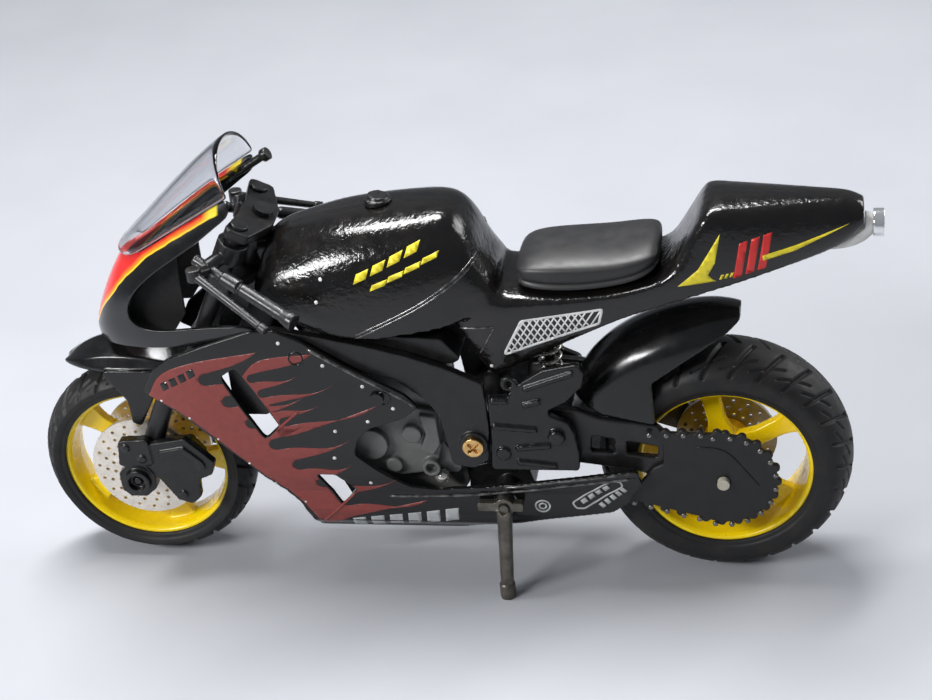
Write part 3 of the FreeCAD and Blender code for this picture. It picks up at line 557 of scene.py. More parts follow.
def printed(name, outlines, material, surface, lift=PRINT_LIFT, holes=()):
    """A thin print on both sides of the machine."""
    mesh = print_mesh(outlines, surface, lift, holes)
    for obj in both_sides(name, mesh, material, "chassis"):
        modifier(obj, "SOLIDIFY", thickness=PRINT_THICKNESS * MM, offset=-1.0)


def round_section(centre, radius, across, out, count):
    """Points of a circle in the plane of two unit vectors."""
    return [centre + radius * (math.cos(k * math.tau / count) * across + math.sin(k * math.tau / count) * out)
            for k in range(count)]


def bead_mesh(points, radius, surface, sink=0.0, around=8, steps=8):
    """A round bead along a smooth line on surface(x, z), tapered at its ends."""
    line = smooth_line([(x, 0, z) for x, z in points], steps)
    path = [at(p.x, -surface(p.x, p.z) + sink, p.z) for p in line]
    rings = []
    for i, here in enumerate(path):
        along = (path[min(i + 1, len(path) - 1)] - path[max(i - 1, 0)]).normalized()
        across = along.cross(Vector((0, 1, 0))).normalized()
        out = across.cross(along)
        size = radius * MM * (0.35 if i in (0, len(path) - 1) else 1.0)
        rings.append(round_section(here, size, across, out, around))
    return cleaned(raw_mesh("bead", *skin(rings, cap=True)), turn_out=True)


def raised(name, points, radius, surface, material, slot, **line):
    """A bead along a line on both sides of the machine."""
    both_sides(name, bead_mesh(points, radius, surface, **line), M[material], "chassis")


def skin(rings, closed=True, cap=False):
    """Vertices and quads between successive rings of the same length."""
    verts = [p for ring in rings for p in ring]
    n = len(rings[0])
    faces = []
    for i in range(len(rings) - 1):
        for j in range(n if closed else n - 1):
            k = (j + 1) % n
            faces.append((i * n + j, i * n + k, (i + 1) * n + k, (i + 1) * n + j))
    if cap:
        faces.append(tuple(reversed(range(n))))
        faces.append(tuple((len(rings) - 1) * n + j for j in range(n)))
    return verts, faces


def catmull(p0, p1, p2, p3, t):
    """A place between p1 and p2 on a Catmull-Rom curve."""
    return 0.5 * ((2 * p1) + (p2 - p0) * t + (2 * p0 - 5 * p1 + 4 * p2 - p3) * t * t
                  + (3 * p1 - p0 - 3 * p2 + p3) * t ** 3)


def smooth_line(points, steps):
    """Points along a Catmull-Rom curve through the given points."""
    path = [Vector(p) for p in points]
    ends = [2 * path[0] - path[1]] + path + [2 * path[-1] - path[-2]]
    line = []
    for i in range(1, len(ends) - 2):
        line += [catmull(*ends[i - 1:i + 3], k / steps) for k in range(steps)]
    return line + path[-1:]


def smooth_flat(points, steps):
    """The same in two dimensions, as plain pairs."""
    return [(p.x, p.y) for p in smooth_line([(a, b, 0) for a, b in points], steps)]


def mirrored_ring(x, top, side, foot):
    """A closed section at x: the top, the points y z of one side, the foot and the other side."""
    return ([at(x, 0, top)] + [at(x, y, z) for y, z in side] + [at(x, 0, foot)]
            + [at(x, -y, z) for y, z in reversed(side)])


def smooth_rows(rows, steps):
    """Catmull-Rom rows of numbers between the given rows."""
    ends = [[2 * a - b for a, b in zip(rows[0], rows[1])]] + [list(r) for r in rows]
    ends.append([2 * a - b for a, b in zip(rows[-1], rows[-2])])
    result = []
    for i in range(1, len(ends) - 2):
        for k in range(steps):
            result.append([catmull(*column, k / steps) for column in zip(*ends[i - 1:i + 3])])
    return result + [list(rows[-1])]


# --------------------------------------------------------------------- wheels
RIM_EDGE = 19.3
TYRE_STEPS = 720
TREAD_REACH = 1.13  # how far round the shoulder the cuts run, as a share of the half width
CUT_HALF_WIDTH, CUT_DEPTH = 0.36, 0.80
SLIT_HALF_WIDTH, SLIT_DEPTH = 0.30, 0.55


def tyre(name, node, axle, radius, half, pitch_count, lean):
    """Tyre turned from a fine profile, its tread cut as grooves into the mesh."""
    bead = half - 1.1
    flank_r = RIM_EDGE + 0.42 * (radius - RIM_EDGE)
    outline = [(RIM_EDGE + 0.02, -bead + 1.6), (RIM_EDGE - 0.5, -bead - 0.1), (RIM_EDGE + 0.5, -bead - 0.5),
               (RIM_EDGE + 1.1, -half + 0.25), (flank_r, -half), (radius - 3.2, -0.93 * half),
               (radius - 1.75, -0.74 * half), (radius - 0.65, -0.45 * half), (radius - 0.1, -0.2 * half),
               (radius, 0.0)]
    outline += [(r, -y) for r, y in reversed(outline[:-1])]
    line = [p for k, p in enumerate(smooth_line([(r, y, 0) for r, y in outline], 12))
            if k % 4 == 0 or abs(p.y) < 0.96 * half and p.x > flank_r and k % 2 == 0 or p.x > radius - 3.0]
    runs = [0.0]
    for p, q in zip(line, line[1:]):
        runs.append(runs[-1] + (q - p).length)
    verts = []
    for k in range(TYRE_STEPS):
        turn = math.tau * k / TYRE_STEPS
        for p, run in zip(line, runs):
            depth = tread(turn, run - runs[-1] / 2, pitch_count, lean, half, radius)
            reach = p.x - depth
            place = Vector((reach * math.cos(turn), p.y * (1 - 0.012 * depth), reach * math.sin(turn)))
            verts.append(axle + place * MM)
    n = len(line)
    faces = []
    for k in range(TYRE_STEPS):
        ahead = (k + 1) % TYRE_STEPS
        for j in range(n - 1):
            faces.append((k * n + j, k * n + j + 1, ahead * n + j + 1, ahead * n + j))
    return piece(name, verts, faces, M["rubber"], BODY_OF[node], SLOT_OF[node], [node])


def tread(turn, across, count, lean, half, radius):
    """Groove depth at a place on the tyre: slanted cuts joined by cross slits."""
    reach = abs(across)
    edge = half * TREAD_REACH
    if reach > edge:
        return 0.0
    phase = turn * count / math.tau + (0.5 if across >= 0 else 0.0)
    slanted = phase - lean * reach / half
    local = slanted - math.floor(slanted) - 0.5
    arc = math.tau * radius / count
    depth = groove(abs(local) * arc * 0.72, CUT_HALF_WIDTH, CUT_DEPTH)
    cross_at = half * (0.52 + 0.34 * (local + 0.5))
    depth = max(depth, groove(abs(reach - cross_at), SLIT_HALF_WIDTH, SLIT_DEPTH))
    return depth * min(1.0, max(0.0, (edge - reach) / 0.8))


def groove(distance, half_width, depth):
    """A round-bottomed cut: full depth on its line, and none past 1.6 half widths."""
    t = min(distance / (half_width * 1.6), 1.0)
    return depth * (1 - t * t) ** 2


def wheels():
    tyre("front_tyre_tread", "front_tyre", FRONT_AXLE, radius=24.5, half=6.3, pitch_count=26, lean=0.62)
    tyre("rear_tyre_tread", "rear_tyre", REAR_AXLE, radius=27.3, half=8.5, pitch_count=26, lean=0.70)


MOULDED = (  # material, voxel in mm, rounds of smoothing, nodes
    ("rim", 0.24, 4, "front_rim"),
    ("rim", 0.26, 4, "rear_rim"),
    ("satin", 0.24, 4, "fork_leg_left fork_leg_right top_yoke bottom_yoke frame_plate_left"),
    ("satin", 0.24, 4, "frame_plate_right swingarm rear_caliper stand_bracket main_frame shock_rod"),
    ("satin", 0.24, 4, "radiator fuel_cap"),
    ("shine", 0.24, 4, "footrest_bracket_left footrest_bracket_right"),
    ("shine", 0.20, 3, "caliper_left caliper_right"),
    ("worn", 0.18, 3, "handlebar_left handlebar_right lever_left lever_right"),
    ("aged", 0.18, 3, "stand_leg"),
    ("dark", 0.18, 3, "chain_plate"),
    ("engine", 0.24, 3, "engine_block engine_cover_left engine_cover_right"),
    ("brass", 0.14, 2, "pivot_screw pivot_nut"),
    ("steel", 0.14, 2, "oil_cap"),
    ("satin", 0.24, 4, "air_box screen_stay"),
    ("gloss", 0.22, 6, "front_fender"),
    ("gloss", 0.24, 8, "rear_hugger"),
    ("lamp", 0.20, 5, "tail_light_housing"),
    ("lens", 0.16, 3, "tail_light_lens"),
)
REPAINTED = (
    ("disc", "front_disc_left front_disc_right"),
    ("disc_dark", "rear_disc"),
    ("aged", "stand_pin"),
    ("gloss", "fairing_screws"),
    ("pin", "front_axle rear_axle"),
    ("satin", "steering_stem"),
    # Inner panels in the darker black: painted shade inside the nose cowl.
    ("cavity_shade", "inner_panel_left inner_panel_right"),
)


def mechanics():
    """Pieces whose CAD shape is right, and only needs a casting's soft edges or a material."""
    for material, voxel_mm, rounds, nodes in MOULDED:
        for node in nodes.split():
            moulded(node, M[material], voxel_mm, rounds)
    for material, nodes in REPAINTED:
        for node in nodes.split():
            repaint(node, M[material])
    spring()


# --------------------------------------------------------------- body casting
TANK = (  # x, top, shoulder y z, waist y z, crease y z, foot y z
    (-32.2, 75.6, 4.0, 75.2, 7.4, 74.4, 8.6, 73.2, 8.2, 72.2),
    (-31.4, 78.4, 5.6, 76.4, 9.4, 74.0, 11.2, 72.4, 10.6, 71.0),
    (-29.8, 81.0, 6.8, 78.6, 10.6, 74.8, 12.8, 71.6, 12.2, 69.6),
    (-26.4, 83.4, 8.0, 80.4, 11.8, 76.2, 14.0, 70.6, 13.2, 68.0),
    (-21.0, 85.2, 9.0, 81.8, 12.8, 77.2, 14.9, 69.6, 14.0, 65.8),
    (-14.0, 87.0, 9.8, 83.8, 13.4, 78.4, 15.3, 69.2, 14.4, 63.8),
    (-6.0, 88.2, 10.0, 85.2, 13.4, 80.0, 15.3, 70.6, 14.4, 63.4),
    (2.0, 88.9, 9.6, 86.4, 12.8, 81.4, 14.8, 73.0, 13.8, 64.4),
    (7.4, 88.9, 9.0, 86.9, 12.0, 82.4, 13.9, 75.0, 13.0, 65.2),
    (11.0, 87.8, 8.4, 85.9, 11.2, 81.8, 12.9, 75.4, 12.2, 66.2),
    (13.8, 84.6, 7.8, 82.9, 10.4, 79.6, 12.0, 75.0, 11.4, 67.2),
    (16.4, 79.0, 7.2, 77.9, 9.8, 76.0, 11.2, 73.4, 10.9, 68.2),
    (19.0, 74.2, 6.4, 73.8, 9.0, 73.2, 10.4, 72.2, 10.2, 69.2),
)
TAIL = (  # x, top, shoulder y z, waist y z, crease y z, foot y z
    (9.4, 74.0, 7.0, 73.6, 9.8, 72.0, 10.6, 69.6, 9.8, 66.0),
    (13.0, 73.2, 7.2, 72.8, 10.2, 71.2, 11.0, 68.0, 9.8, 59.0),
    (17.0, 72.4, 7.4, 72.0, 10.6, 70.8, 11.2, 67.2, 9.4, 52.4),
    (20.5, 72.0, 7.6, 71.8, 10.8, 70.8, 11.3, 67.4, 9.4, 53.4),
    (28.0, 71.8, 7.8, 71.6, 10.9, 70.8, 11.3, 68.4, 9.8, 57.6),
    (36.0, 72.0, 7.8, 71.8, 10.8, 71.2, 11.2, 69.4, 10.0, 61.6),
    (44.0, 72.8, 7.8, 72.6, 10.6, 72.2, 11.0, 70.8, 10.0, 65.4),
    (51.0, 74.6, 7.8, 74.4, 10.4, 74.0, 10.7, 72.6, 9.8, 68.0),
    (54.8, 77.6, 8.2, 77.0, 10.2, 75.8, 10.4, 73.6, 9.5, 69.2),
    (58.4, 83.4, 8.4, 82.4, 9.9, 78.6, 10.0, 74.6, 9.1, 70.2),
    (61.4, 88.6, 8.4, 87.0, 9.5, 81.4, 9.6, 75.8, 8.7, 71.0),
    (63.6, 89.9, 8.0, 88.2, 9.2, 82.0, 9.2, 76.4, 8.3, 71.6),
    (68.0, 90.0, 7.4, 88.2, 8.7, 82.4, 8.7, 77.2, 7.7, 72.8),
    (76.0, 89.9, 6.1, 88.2, 7.4, 83.2, 7.4, 79.0, 6.3, 75.2),
    (84.0, 89.7, 4.8, 88.2, 6.0, 84.4, 6.0, 80.8, 4.9, 77.8),
    (90.0, 89.4, 3.8, 88.0, 4.9, 85.2, 4.9, 82.6, 3.8, 80.4),
    (93.4, 88.2, 2.8, 87.2, 3.6, 85.8, 3.6, 84.4, 2.8, 83.4),
)


def hull_ring(row):
    """One closed section of the tank or tail, from the top round to the top again."""
    x, top, sy, sz, wy, wz, cy, cz, fy, fz = row
    side = smooth_flat([(0, top), (0.55 * sy, top - 0.14 * (top - sz)), (sy, sz), (wy, wz), (cy, cz),
                        (fy, fz)], 4)
    right = side[1:] + [(fy - 1.6, fz + 0.3), (fy - 2.4, fz + 2.6)]
    return mirrored_ring(x, top, right, fz + 3.0)


def seat_junction(x, z):
    """1 where the tank runs into the seat base, fading to 0 round it."""
    near = np.clip(1.3 - np.abs(x - 17.5) / 9.0, 0, 1) * np.clip((z - 66.5) / 3.0, 0, 1)
    return near * np.clip((81.0 - z) / 5.0, 0, 1)


def body_casting():
    """Tank, seat base and tail, blended into one casting."""
    verts, faces = skin([hull_ring(r) for r in smooth_rows(TANK, 5)], cap=True)
    more, more_faces = skin([hull_ring(r) for r in smooth_rows(TAIL, 4)], cap=True)
    count = len(verts)
    faces += [tuple(i + count for i in f) for f in more_faces]
    obj = piece("body_casting", verts + more, faces, M["cast"], "chassis", "casting_black", ["tank_and_tail"])
    baked(soften(obj, voxel_mm=0.46, rounds=4))
    relax(obj.data, seat_junction, rounds=16)
    return obj


def casting_lines(casting):
    """Raised lines, prints and a painted glint on the tank, the seat base and the tail."""
    surface = facing(casting)

    def mark(name, outline, ink_name):
        printed(name, [outline], M[ink_name], surface)

    # The tank's twin lines and the seat base's lines take the lighter black: a painted highlight along them.
    groove_line = ((-10.6, 64.6), (-3.4, 68.2), (4.4, 72.4), (10.8, 76.6), (15.4, 80.2))
    for k, drop in enumerate((0.0, 0.85)):
        line = [(x, z - drop) for x, z in groove_line]
        raised("tank_line_%d" % k, line, 0.28, surface, "highlight_line", "casting_black")
    seat_base_lines = (((6.0, 63.4), (12.0, 64.0), (18.4, 64.6)), ((18.4, 64.4), (16.6, 61.0), (14.8, 57.6)))
    for k, points in enumerate(seat_base_lines):
        raised("seat_base_line_%d" % k, points, 0.26, surface, "highlight_line", "casting_black")
    for k in range(4):
        x = -9.4 + 3.6 * k
        z = 76.6 + 1.75 * k
        bar = [(x, z), (x + 2.7, z + 1.2), (x + 3.4, z + 3.3), (x + 0.7, z + 2.1)]
        mark("tank_bar_%d" % k, bar, "yellow")
        x += 3.4
        z -= 1.4
        dash = [(x, z), (x + 3.3, z + 1.3), (x + 3.8, z + 2.6), (x + 0.5, z + 1.3)]
        mark("tank_dash_%d" % k, dash, "yellow")
    lattice(surface)
    arrow = [(56.5, 73.8), (60.6, 77.4), (65.1, 85.0), (64.0, 78.6), (62.6, 76.0), (63.4, 74.9), (64.2, 74.3)]
    mark("tail_arrow", arrow, "yellow")
    mark("tail_stripe", [(73.6, 78.4), (80.0, 80.2), (90.6, 85.2), (80.0, 81.4), (73.4, 79.6)], "yellow")
    for k in range(3):
        x = 67.6 + 2.4 * k
        z = 74.6 + 0.7 * k
        mark("tail_bar_%d" % k, [(x, z), (x + 1.7, z + 0.5), (x + 3.0, z + 8.6), (x + 1.3, z + 8.1)], "red")
    for k, bar in enumerate(bar_word((64.8, 74.6), (3.0, 0.6), (0.4, 1.1), 3, 0.6)):
        mark("tail_dash_%d" % k, bar, "yellow")
    # White dots on the casting; the one low on the seat base, at its lower tip, is a painted glint.
    for k, (x, z) in enumerate(((17.0, 54.4), (-16.4, 77.4), (-17.6, 72.6))):
        mark("casting_dot_%d" % k, circle(x, z, 0.4, 16), "white")


LATTICE = ((19.3, 56.8, 0.8), (24.0, 66.4, 1.2), (41.4, 69.2, 0.6), (40.4, 65.0, 0.8), (30.6, 61.4, 6.0))


LATTICE_PITCH = 1.45
LATTICE_RUN, LATTICE_RISE = 9.0, 15.0
LATTICE_WIRE = 0.19  # half of a wire's width, measured level


def lattice(surface):
    """Pale frame filled with a slanted mesh, on the front panel of the seat base."""
    outer = rounded_outline(LATTICE)
    printed("lattice_frame", [outer, grown(outer, -0.55)], M["white"], surface)
    beyond = grown(outer, -0.30)
    for k in range(24):
        foot = Vector((10.0 + LATTICE_PITCH * k, 56.0))
        for tag, run, lift in (("a", LATTICE_RUN, 0.045), ("b", -LATTICE_RUN, 0.055)):
            rise = Vector((run, LATTICE_RISE))
            wire = [foot + rise * (j / 60) for j in range(61)]
            wire = [p for p in wire if inside(beyond, p.x, p.y)]
            if len(wire) < 4:
                continue
            wide = Vector((LATTICE_WIRE, 0))
            strip = [wire[0] - wide, wire[-1] - wide, wire[-1] + wide, wire[0] + wide]
            printed("lattice_%s%d" % (tag, k), [strip], M["white"], surface, lift)


SEAT = (  # x, half width, top, side bulge height, lip height, foot
    (22.8, 6.6, 76.4, 75.4, 74.4, 72.6),
    (24.6, 8.9, 78.2, 76.0, 74.0, 72.0),
    (29.0, 10.0, 78.9, 76.2, 73.6, 71.8),
    (36.0, 10.4, 79.2, 76.4, 73.7, 72.0),
    (43.0, 10.3, 79.6, 77.0, 74.6, 72.8),
    (48.4, 9.9, 80.6, 78.0, 75.8, 74.2),
    (51.4, 8.8, 80.8, 79.0, 77.2, 75.8),
    (52.9, 6.4, 80.2, 79.2, 78.2, 77.2),
)


def seat():
    """Seat: a crowned bean with a thin lip round its foot."""
    rings = []
    for x, half, top, bulge, lip, foot in SEAT:
        right = [(0.45 * half, top - 0.05), (0.8 * half, top - 0.7), (0.97 * half, 0.5 * (top + bulge) - 0.2),
                 (half, bulge), (0.96 * half, lip + 0.5), (0.90 * half, lip), (0.97 * half, lip - 0.5),
                 (0.96 * half, foot)]
        rings.append(mirrored_ring(x, top, right, foot))
    obj = piece("seat_cushion", *skin(rings, cap=True), M["seat"], "chassis", "seat_black", ["seat_pad"])
    modifier(obj, "SUBSURF", levels=3, render_levels=3)


# ------------------------------------------------------------------- fairings
# Columns of points x y z. The front's run from the screen's edge to the lower edge, out from the centre line.
NOSE_FRONT = (
    ((-62.6, 0, 79.0), (-65.6, 0, 74.4), (-68.2, 0, 69.4), (-70.2, 0, 64.6), (-71.5, 0, 61.2),
     (-71.4, 0, 58.4)),
    ((-61.4, -4.2, 78.9), (-64.6, -4.8, 73.9), (-67.2, -5.2, 69.0), (-69.2, -5.2, 64.2), (-70.2, -4.8, 61.0),
     (-69.9, -4.4, 58.3)),
    ((-58.2, -7.4, 79.8), (-61.6, -8.8, 73.8), (-63.8, -9.4, 69.6), (-65.6, -9.6, 65.2), (-66.4, -9.2, 61.8),
     (-66.2, -8.6, 58.8)),
    ((-53.8, -9.0, 82.4), (-57.8, -11.0, 76.4), (-59.6, -11.6, 71.6), (-60.4, -11.9, 66.4),
     (-60.8, -11.7, 62.4), (-61.0, -11.0, 59.6)),
)
NOSE_STRIP = (
    ((-48.6, -9.7, 86.0), (-50.8, -11.3, 82.4), (-53.2, -12.0, 77.8)),
    ((-42.0, -10.2, 90.2), (-42.6, -11.7, 87.4), (-43.4, -12.3, 84.0)),
    ((-37.6, -10.6, 93.0), (-37.8, -11.8, 91.0), (-38.2, -12.3, 88.4)),
    ((-34.4, -10.8, 94.9), (-34.4, -11.6, 93.2), (-34.6, -12.1, 90.8)),
)
NOSE_BAND = (
    ((-55.8, -12.8, 64.2), (-56.0, -13.0, 62.2), (-56.2, -12.8, 60.2)),
    ((-49.6, -13.9, 65.2), (-49.8, -14.2, 63.2), (-50.0, -14.0, 61.2)),
    ((-42.0, -14.8, 66.4), (-42.0, -15.0, 64.4), (-42.0, -14.8, 62.2)),
    ((-31.6, -15.4, 67.2), (-31.6, -15.4, 65.0), (-31.6, -15.2, 62.8)),
)


SHEET_THICKNESS = 1.1  # of the nose and the side panels
SCREEN_THICKNESS = 0.7


def nose():
    """Nose cowl: front, a strip up each side of the screen and a band back to the side panels."""
    verts = []
    faces = []

    def patch(columns):
        start = len(verts)
        n = len(columns[0])
        for column in columns:
            verts.extend(at(*p) for p in column)
        for i in range(len(columns) - 1):
            for j in range(n - 1):
                a = start + i * n + j
                faces.append((a, a + 1, a + n + 1, a + n))

    for sign in (1, -1):
        front, strip, band = ([[(x, y * sign, z) for x, y, z in column] for column in columns]
                              for columns in (NOSE_FRONT, NOSE_STRIP, NOSE_BAND))
        patch(front)
        patch([front[-1][:3]] + strip)
        patch([front[-1][3:]] + band)
    mesh = cleaned(raw_mesh("nose_cowl", verts, faces), 0.05, True)
    obj = finish_piece("nose_cowl", mesh, M["nose"], "chassis", ["upper_fairing"])
    modifier(obj, "SUBSURF", levels=3, render_levels=3)
    modifier(obj, "SOLIDIFY", thickness=SHEET_THICKNESS * MM, offset=-1.0)
    modifier(obj, "BEVEL", width=0.25 * MM, segments=2, limit_method="ANGLE", angle_limit=math.radians(50))


SCREEN = (  # centre x z, edge x y z
    (-62.6, 79.4, -60.2, 5.2, 79.4),
    (-59.6, 82.3, -57.0, 7.8, 80.8),
    (-55.8, 86.0, -52.0, 9.0, 83.9),
    (-48.6, 93.0, -45.4, 9.9, 88.0),
    (-42.4, 98.6, -39.6, 10.5, 91.6),
    (-36.8, 102.9, -34.0, 10.9, 95.0),
)


def screen():
    """Thin clear screen, arched across from one edge to the other."""
    rings = []
    for cx, cz, ex, ey, ez in smooth_rows(SCREEN, 4):
        ring = []
        for k in range(25):
            a = math.radians(-90 + 180 * k / 24)
            lift = math.cos(a) ** 0.9
            ring.append(at(ex + (cx - ex) * lift, ey * math.sin(a), ez + (cz - ez) * lift))
        rings.append(ring)
    obj = piece("screen_moulding", *skin(rings, closed=False), M["screen"], "chassis", "screen_clear",
                ["windscreen"])
    modifier(obj, "SOLIDIFY", thickness=SCREEN_THICKNESS * MM, offset=-1.0)
    modifier(obj, "SUBSURF", levels=1, render_levels=1)


PANEL_EDGE = (  # x z corner radius, clockwise from the front tip
    (-58.4, 50.8, 0.8), (-55.6, 56.2, 3.0), (-51.6, 59.4, 4.0), (-43.4, 62.6, 9.0), (-33.0, 66.0, 4.0),
    (-27.6, 66.4, 4.0), (-21.8, 63.9, 5.0), (-12.8, 58.0, 9.0), (-1.0, 51.4, 3.0), (1.9, 48.2, 1.2),
    (-1.8, 45.2, 3.0), (-9.4, 42.6, 4.0), (-12.2, 39.6, 3.0), (-13.4, 36.0, 1.5), (-9.6, 32.2, 6.0),
    (-2.4, 26.6, 5.0), (3.0, 25.8, 4.0), (14.0, 26.4, 9.0), (30.0, 29.2, 9.0), (47.0, 31.8, 0.8),
    (47.9, 27.8, 1.2), (44.6, 22.0, 2.0), (41.4, 19.6, 2.0), (26.0, 16.8, 9.0), (8.0, 12.8, 9.0),
    (-8.0, 9.9, 6.0), (-19.6, 9.6, 3.0), (-24.6, 12.8, 1.0), (-27.4, 21.2, 6.0), (-38.0, 33.6, 12.0),
    (-49.6, 45.0, 12.0),
)
PANEL_SLOT = ((-40.2, 55.3, 0.8), (-36.8, 57.6, 1.0), (-32.8, 50.6, 6.0), (-29.0, 43.2, 0.8),
              (-32.4, 39.8, 0.8), (-36.6, 47.8, 6.0))
PANEL_NOTCH = ((-22.4, 30.2, 0.5), (-18.2, 30.0, 0.8), (-14.4, 25.6, 0.6), (-18.0, 20.8, 0.6))
PANEL_HOLE = (18.2, 22.8, 2.5)  # x z radius


def curve_between(table, value):
    """Smooth value read from a table of (key, value) rows with rising keys."""
    if value <= table[0][0]:
        return table[0][1]
    for (k0, v0), (k1, v1) in zip(table, table[1:]):
        if value <= k1:
            t = (value - k0) / (k1 - k0)
            t = t * t * (3 - 2 * t) * 0.5 + t * 0.5
            return v0 + (v1 - v0) * t
    return table[-1][1]


# Height of a place on the panel, and how far its outer face stands from the centre plane there.
PANEL_BEND = ((9.4, 4.6), (13.0, 10.2), (16.0, 12.6), (19.5, 13.8), (24.6, 14.2), (26.6, 14.9), (30.0, 15.9),
              (36.0, 16.5), (50.0, 16.7), (60.0, 16.5), (67.0, 15.8))


def panel_y(x, z):
    """How far the panel's outer face stands from the centre plane at x, z."""
    lead = max(0.0, (-44.0 - x) / 14.0)
    y = curve_between(PANEL_BEND, z) - 1.5 * lead * lead
    if z < 34:
        y -= 0.7 * max(0.0, (x - 20.0) / 28.0)
        y = min(y, 14.4 + 0.06 * max(0.0, abs(x - 12.0) - 5.0) ** 2)  # room for the folded stand's head
    return y


def rounded_outline(corners, steps=5):
    """2-D points of a polygon whose corners are rounded by the given radii."""
    result = []
    count = len(corners)
    for i in range(count):
        x, z, radius = corners[i]
        here = Vector((x, z))
        back = Vector(corners[i - 1][:2]) - here
        ahead = Vector(corners[(i + 1) % count][:2]) - here
        angle = back.angle(ahead)
        cut = min(radius / math.tan(angle / 2), 0.48 * min(back.length, ahead.length))
        start = here + back.normalized() * cut
        end = here + ahead.normalized() * cut
        for k in range(steps + 1):
            t = k / steps
            result.append(tuple((1 - t) ** 2 * start + 2 * t * (1 - t) * here + t * t * end))
    return result


def flat_shape(outlines):
    """Triangulated 2-D shape with holes, from closed lists of (x, z) points."""
    curve = bpy.data.curves.new("outline", "CURVE")
    curve.dimensions = "2D"
    curve.fill_mode = "BOTH"
    for outline in outlines:
        spline = curve.splines.new("POLY")
        spline.points.add(len(outline) - 1)
        for point, (x, z) in zip(spline.points, outline):
            point.co = (x * MM, z * MM, 0, 1)
        spline.use_cyclic_u = True
    holder = placed("outline", curve)
    bpy.context.view_layer.update()
    mesh = bpy.data.meshes.new_from_object(holder)
    bpy.data.objects.remove(holder)
    bpy.data.curves.remove(curve)
    return mesh


def bent_sheet(name, outlines, thickness, sign, surface, voxel_mm):
    """Closed sheet of the outline's shape, following surface(x, z) on one side."""
    flat = flat_shape(outlines)
    bm = bmesh.new()
    bm.from_mesh(flat)
    made = bmesh.ops.extrude_face_region(bm, geom=bm.faces[:])
    top = [v for v in made["geom"] if isinstance(v, bmesh.types.BMVert)]
    bmesh.ops.translate(bm, verts=top, vec=(0, 0, thickness * MM))
    bmesh.ops.recalc_face_normals(bm, faces=bm.faces)
    mesh = bpy.data.meshes.new(name)
    bm.to_mesh(mesh)
    bm.free()
    holder = soften(placed(name, mesh), voxel_mm, 3)
    result = evaluated_mesh(holder)
    bpy.data.objects.remove(holder)
    for v in result.vertices:
        x, z, depth = v.co.x / MM, v.co.y / MM, v.co.z / MM
        v.co = at(x, sign * (surface(x, z) - depth), z)
    if sign < 0:
        result.flip_normals()
    return result


def side_panels():
    outlines = [rounded_outline(PANEL_EDGE), rounded_outline(PANEL_SLOT), rounded_outline(PANEL_NOTCH),
                circle(*PANEL_HOLE, 24)]
    for side, sign in (("left", -1), ("right", 1)):
        name = "side_panel_" + side
        mesh = bent_sheet(name, outlines, SHEET_THICKNESS, sign, panel_y, voxel_mm=0.25)
        finish_piece(name, mesh, M["gloss"], "chassis", ["side_fairing_" + side])


FLAME_COLLAR = ((-57.2, 50.0), (-53.6, 55.4), (-46.0, 58.8))
FLAME_FOOT = ((1.0, 22.6), (-8.0, 20.0), (-16.0, 17.2), (-23.0, 14.2), (-26.6, 21.2), (-37.6, 33.8),
              (-49.2, 45.2))
REAR_FLAME_HEAD = ((-36.0, 55.0), (-31.0, 59.6))
REAR_FLAME_FOOT = ((-7.0, 48.6), (-17.0, 44.4), (-27.4, 40.6), (-30.2, 42.8))
RIVETS = ((-26.6, 63.6), (-17.6, 58.4), (-9.6, 53.4), (-3.6, 48.0), (-9.4, 44.6), (-16.8, 42.0),
          (-17.8, 35.0), (-10.8, 27.8), (-54.4, 48.9), (-48.6, 44.9), (-43.0, 39.6), (-37.0, 33.2),
          (-32.2, 27.2), (-26.4, 21.6))
FRONT_RIVETS_FROM = 8  # from here on they lie along the front edge, and are smaller
RIVET_RADIUS, FRONT_RIVET_RADIUS = 0.42, 0.2604
SEAL = (26.2, 21.4)
SEAL_RINGS = (("belly_ring", 1.75, 1.35), ("belly_ring_core", 0.95, 0.55))


def bezier(p0, p1, p2, p3, steps=9):
    """Points of a cubic curve, without its last one."""
    result = []
    for k in range(steps):
        t = k / steps
        u = 1 - t
        result.append(u ** 3 * p0 + 3 * u * u * t * p1 + 3 * u * t * t * p2 + t ** 3 * p3)
    return result


def tongues(start, end, count, long, short, radius, lean=16.0):
    """Evenly spaced tongues along a line, long and short by turns: tip x z, then notch x z radius."""
    start, end = Vector(start), Vector(end)
    run = Vector((math.cos(math.radians(lean)), math.sin(math.radians(lean))))
    rows = []
    for k in range(count):
        tip = start.lerp(end, k / count) + run * (short if k % 2 else long)
        notch = start.lerp(end, (k + 0.5) / count)
        rows.append((tip.x, tip.y, notch.x, notch.y, radius))
    return rows


def licks(rows, last_tip, lean=16.0):
    """A flame's ragged side: from each tip down round a notch and out to the next tip."""
    run = Vector((math.cos(math.radians(lean)), math.sin(math.radians(lean))))
    rise = Vector((-run.y, run.x))
    curl = Vector((math.cos(math.radians(lean + 22)), math.sin(math.radians(lean + 22))))
    points = []
    for k, (tx, tz, nx, nz, radius) in enumerate(rows):
        tip = Vector((tx, tz))
        notch = Vector((nx, nz))
        after = Vector(rows[k + 1][:2]) if k + 1 < len(rows) else Vector(last_tip)
        reach = (tip - notch).length
        points += bezier(tip, tip - curl * reach * 0.36, notch + rise * radius + run * reach * 0.42,
                         notch + rise * radius)
        for j in range(1, 9):
            a = math.pi * j / 9
            points.append(notch + rise * radius * math.cos(a) - run * radius * 1.25 * math.sin(a))
        reach = (after - notch).length
        points += bezier(notch - rise * radius, notch - rise * radius + run * reach * 0.40,
                         after - curl * reach * 0.42, after)
    points.append(Vector(last_tip))
    return [tuple(p) for p in points]


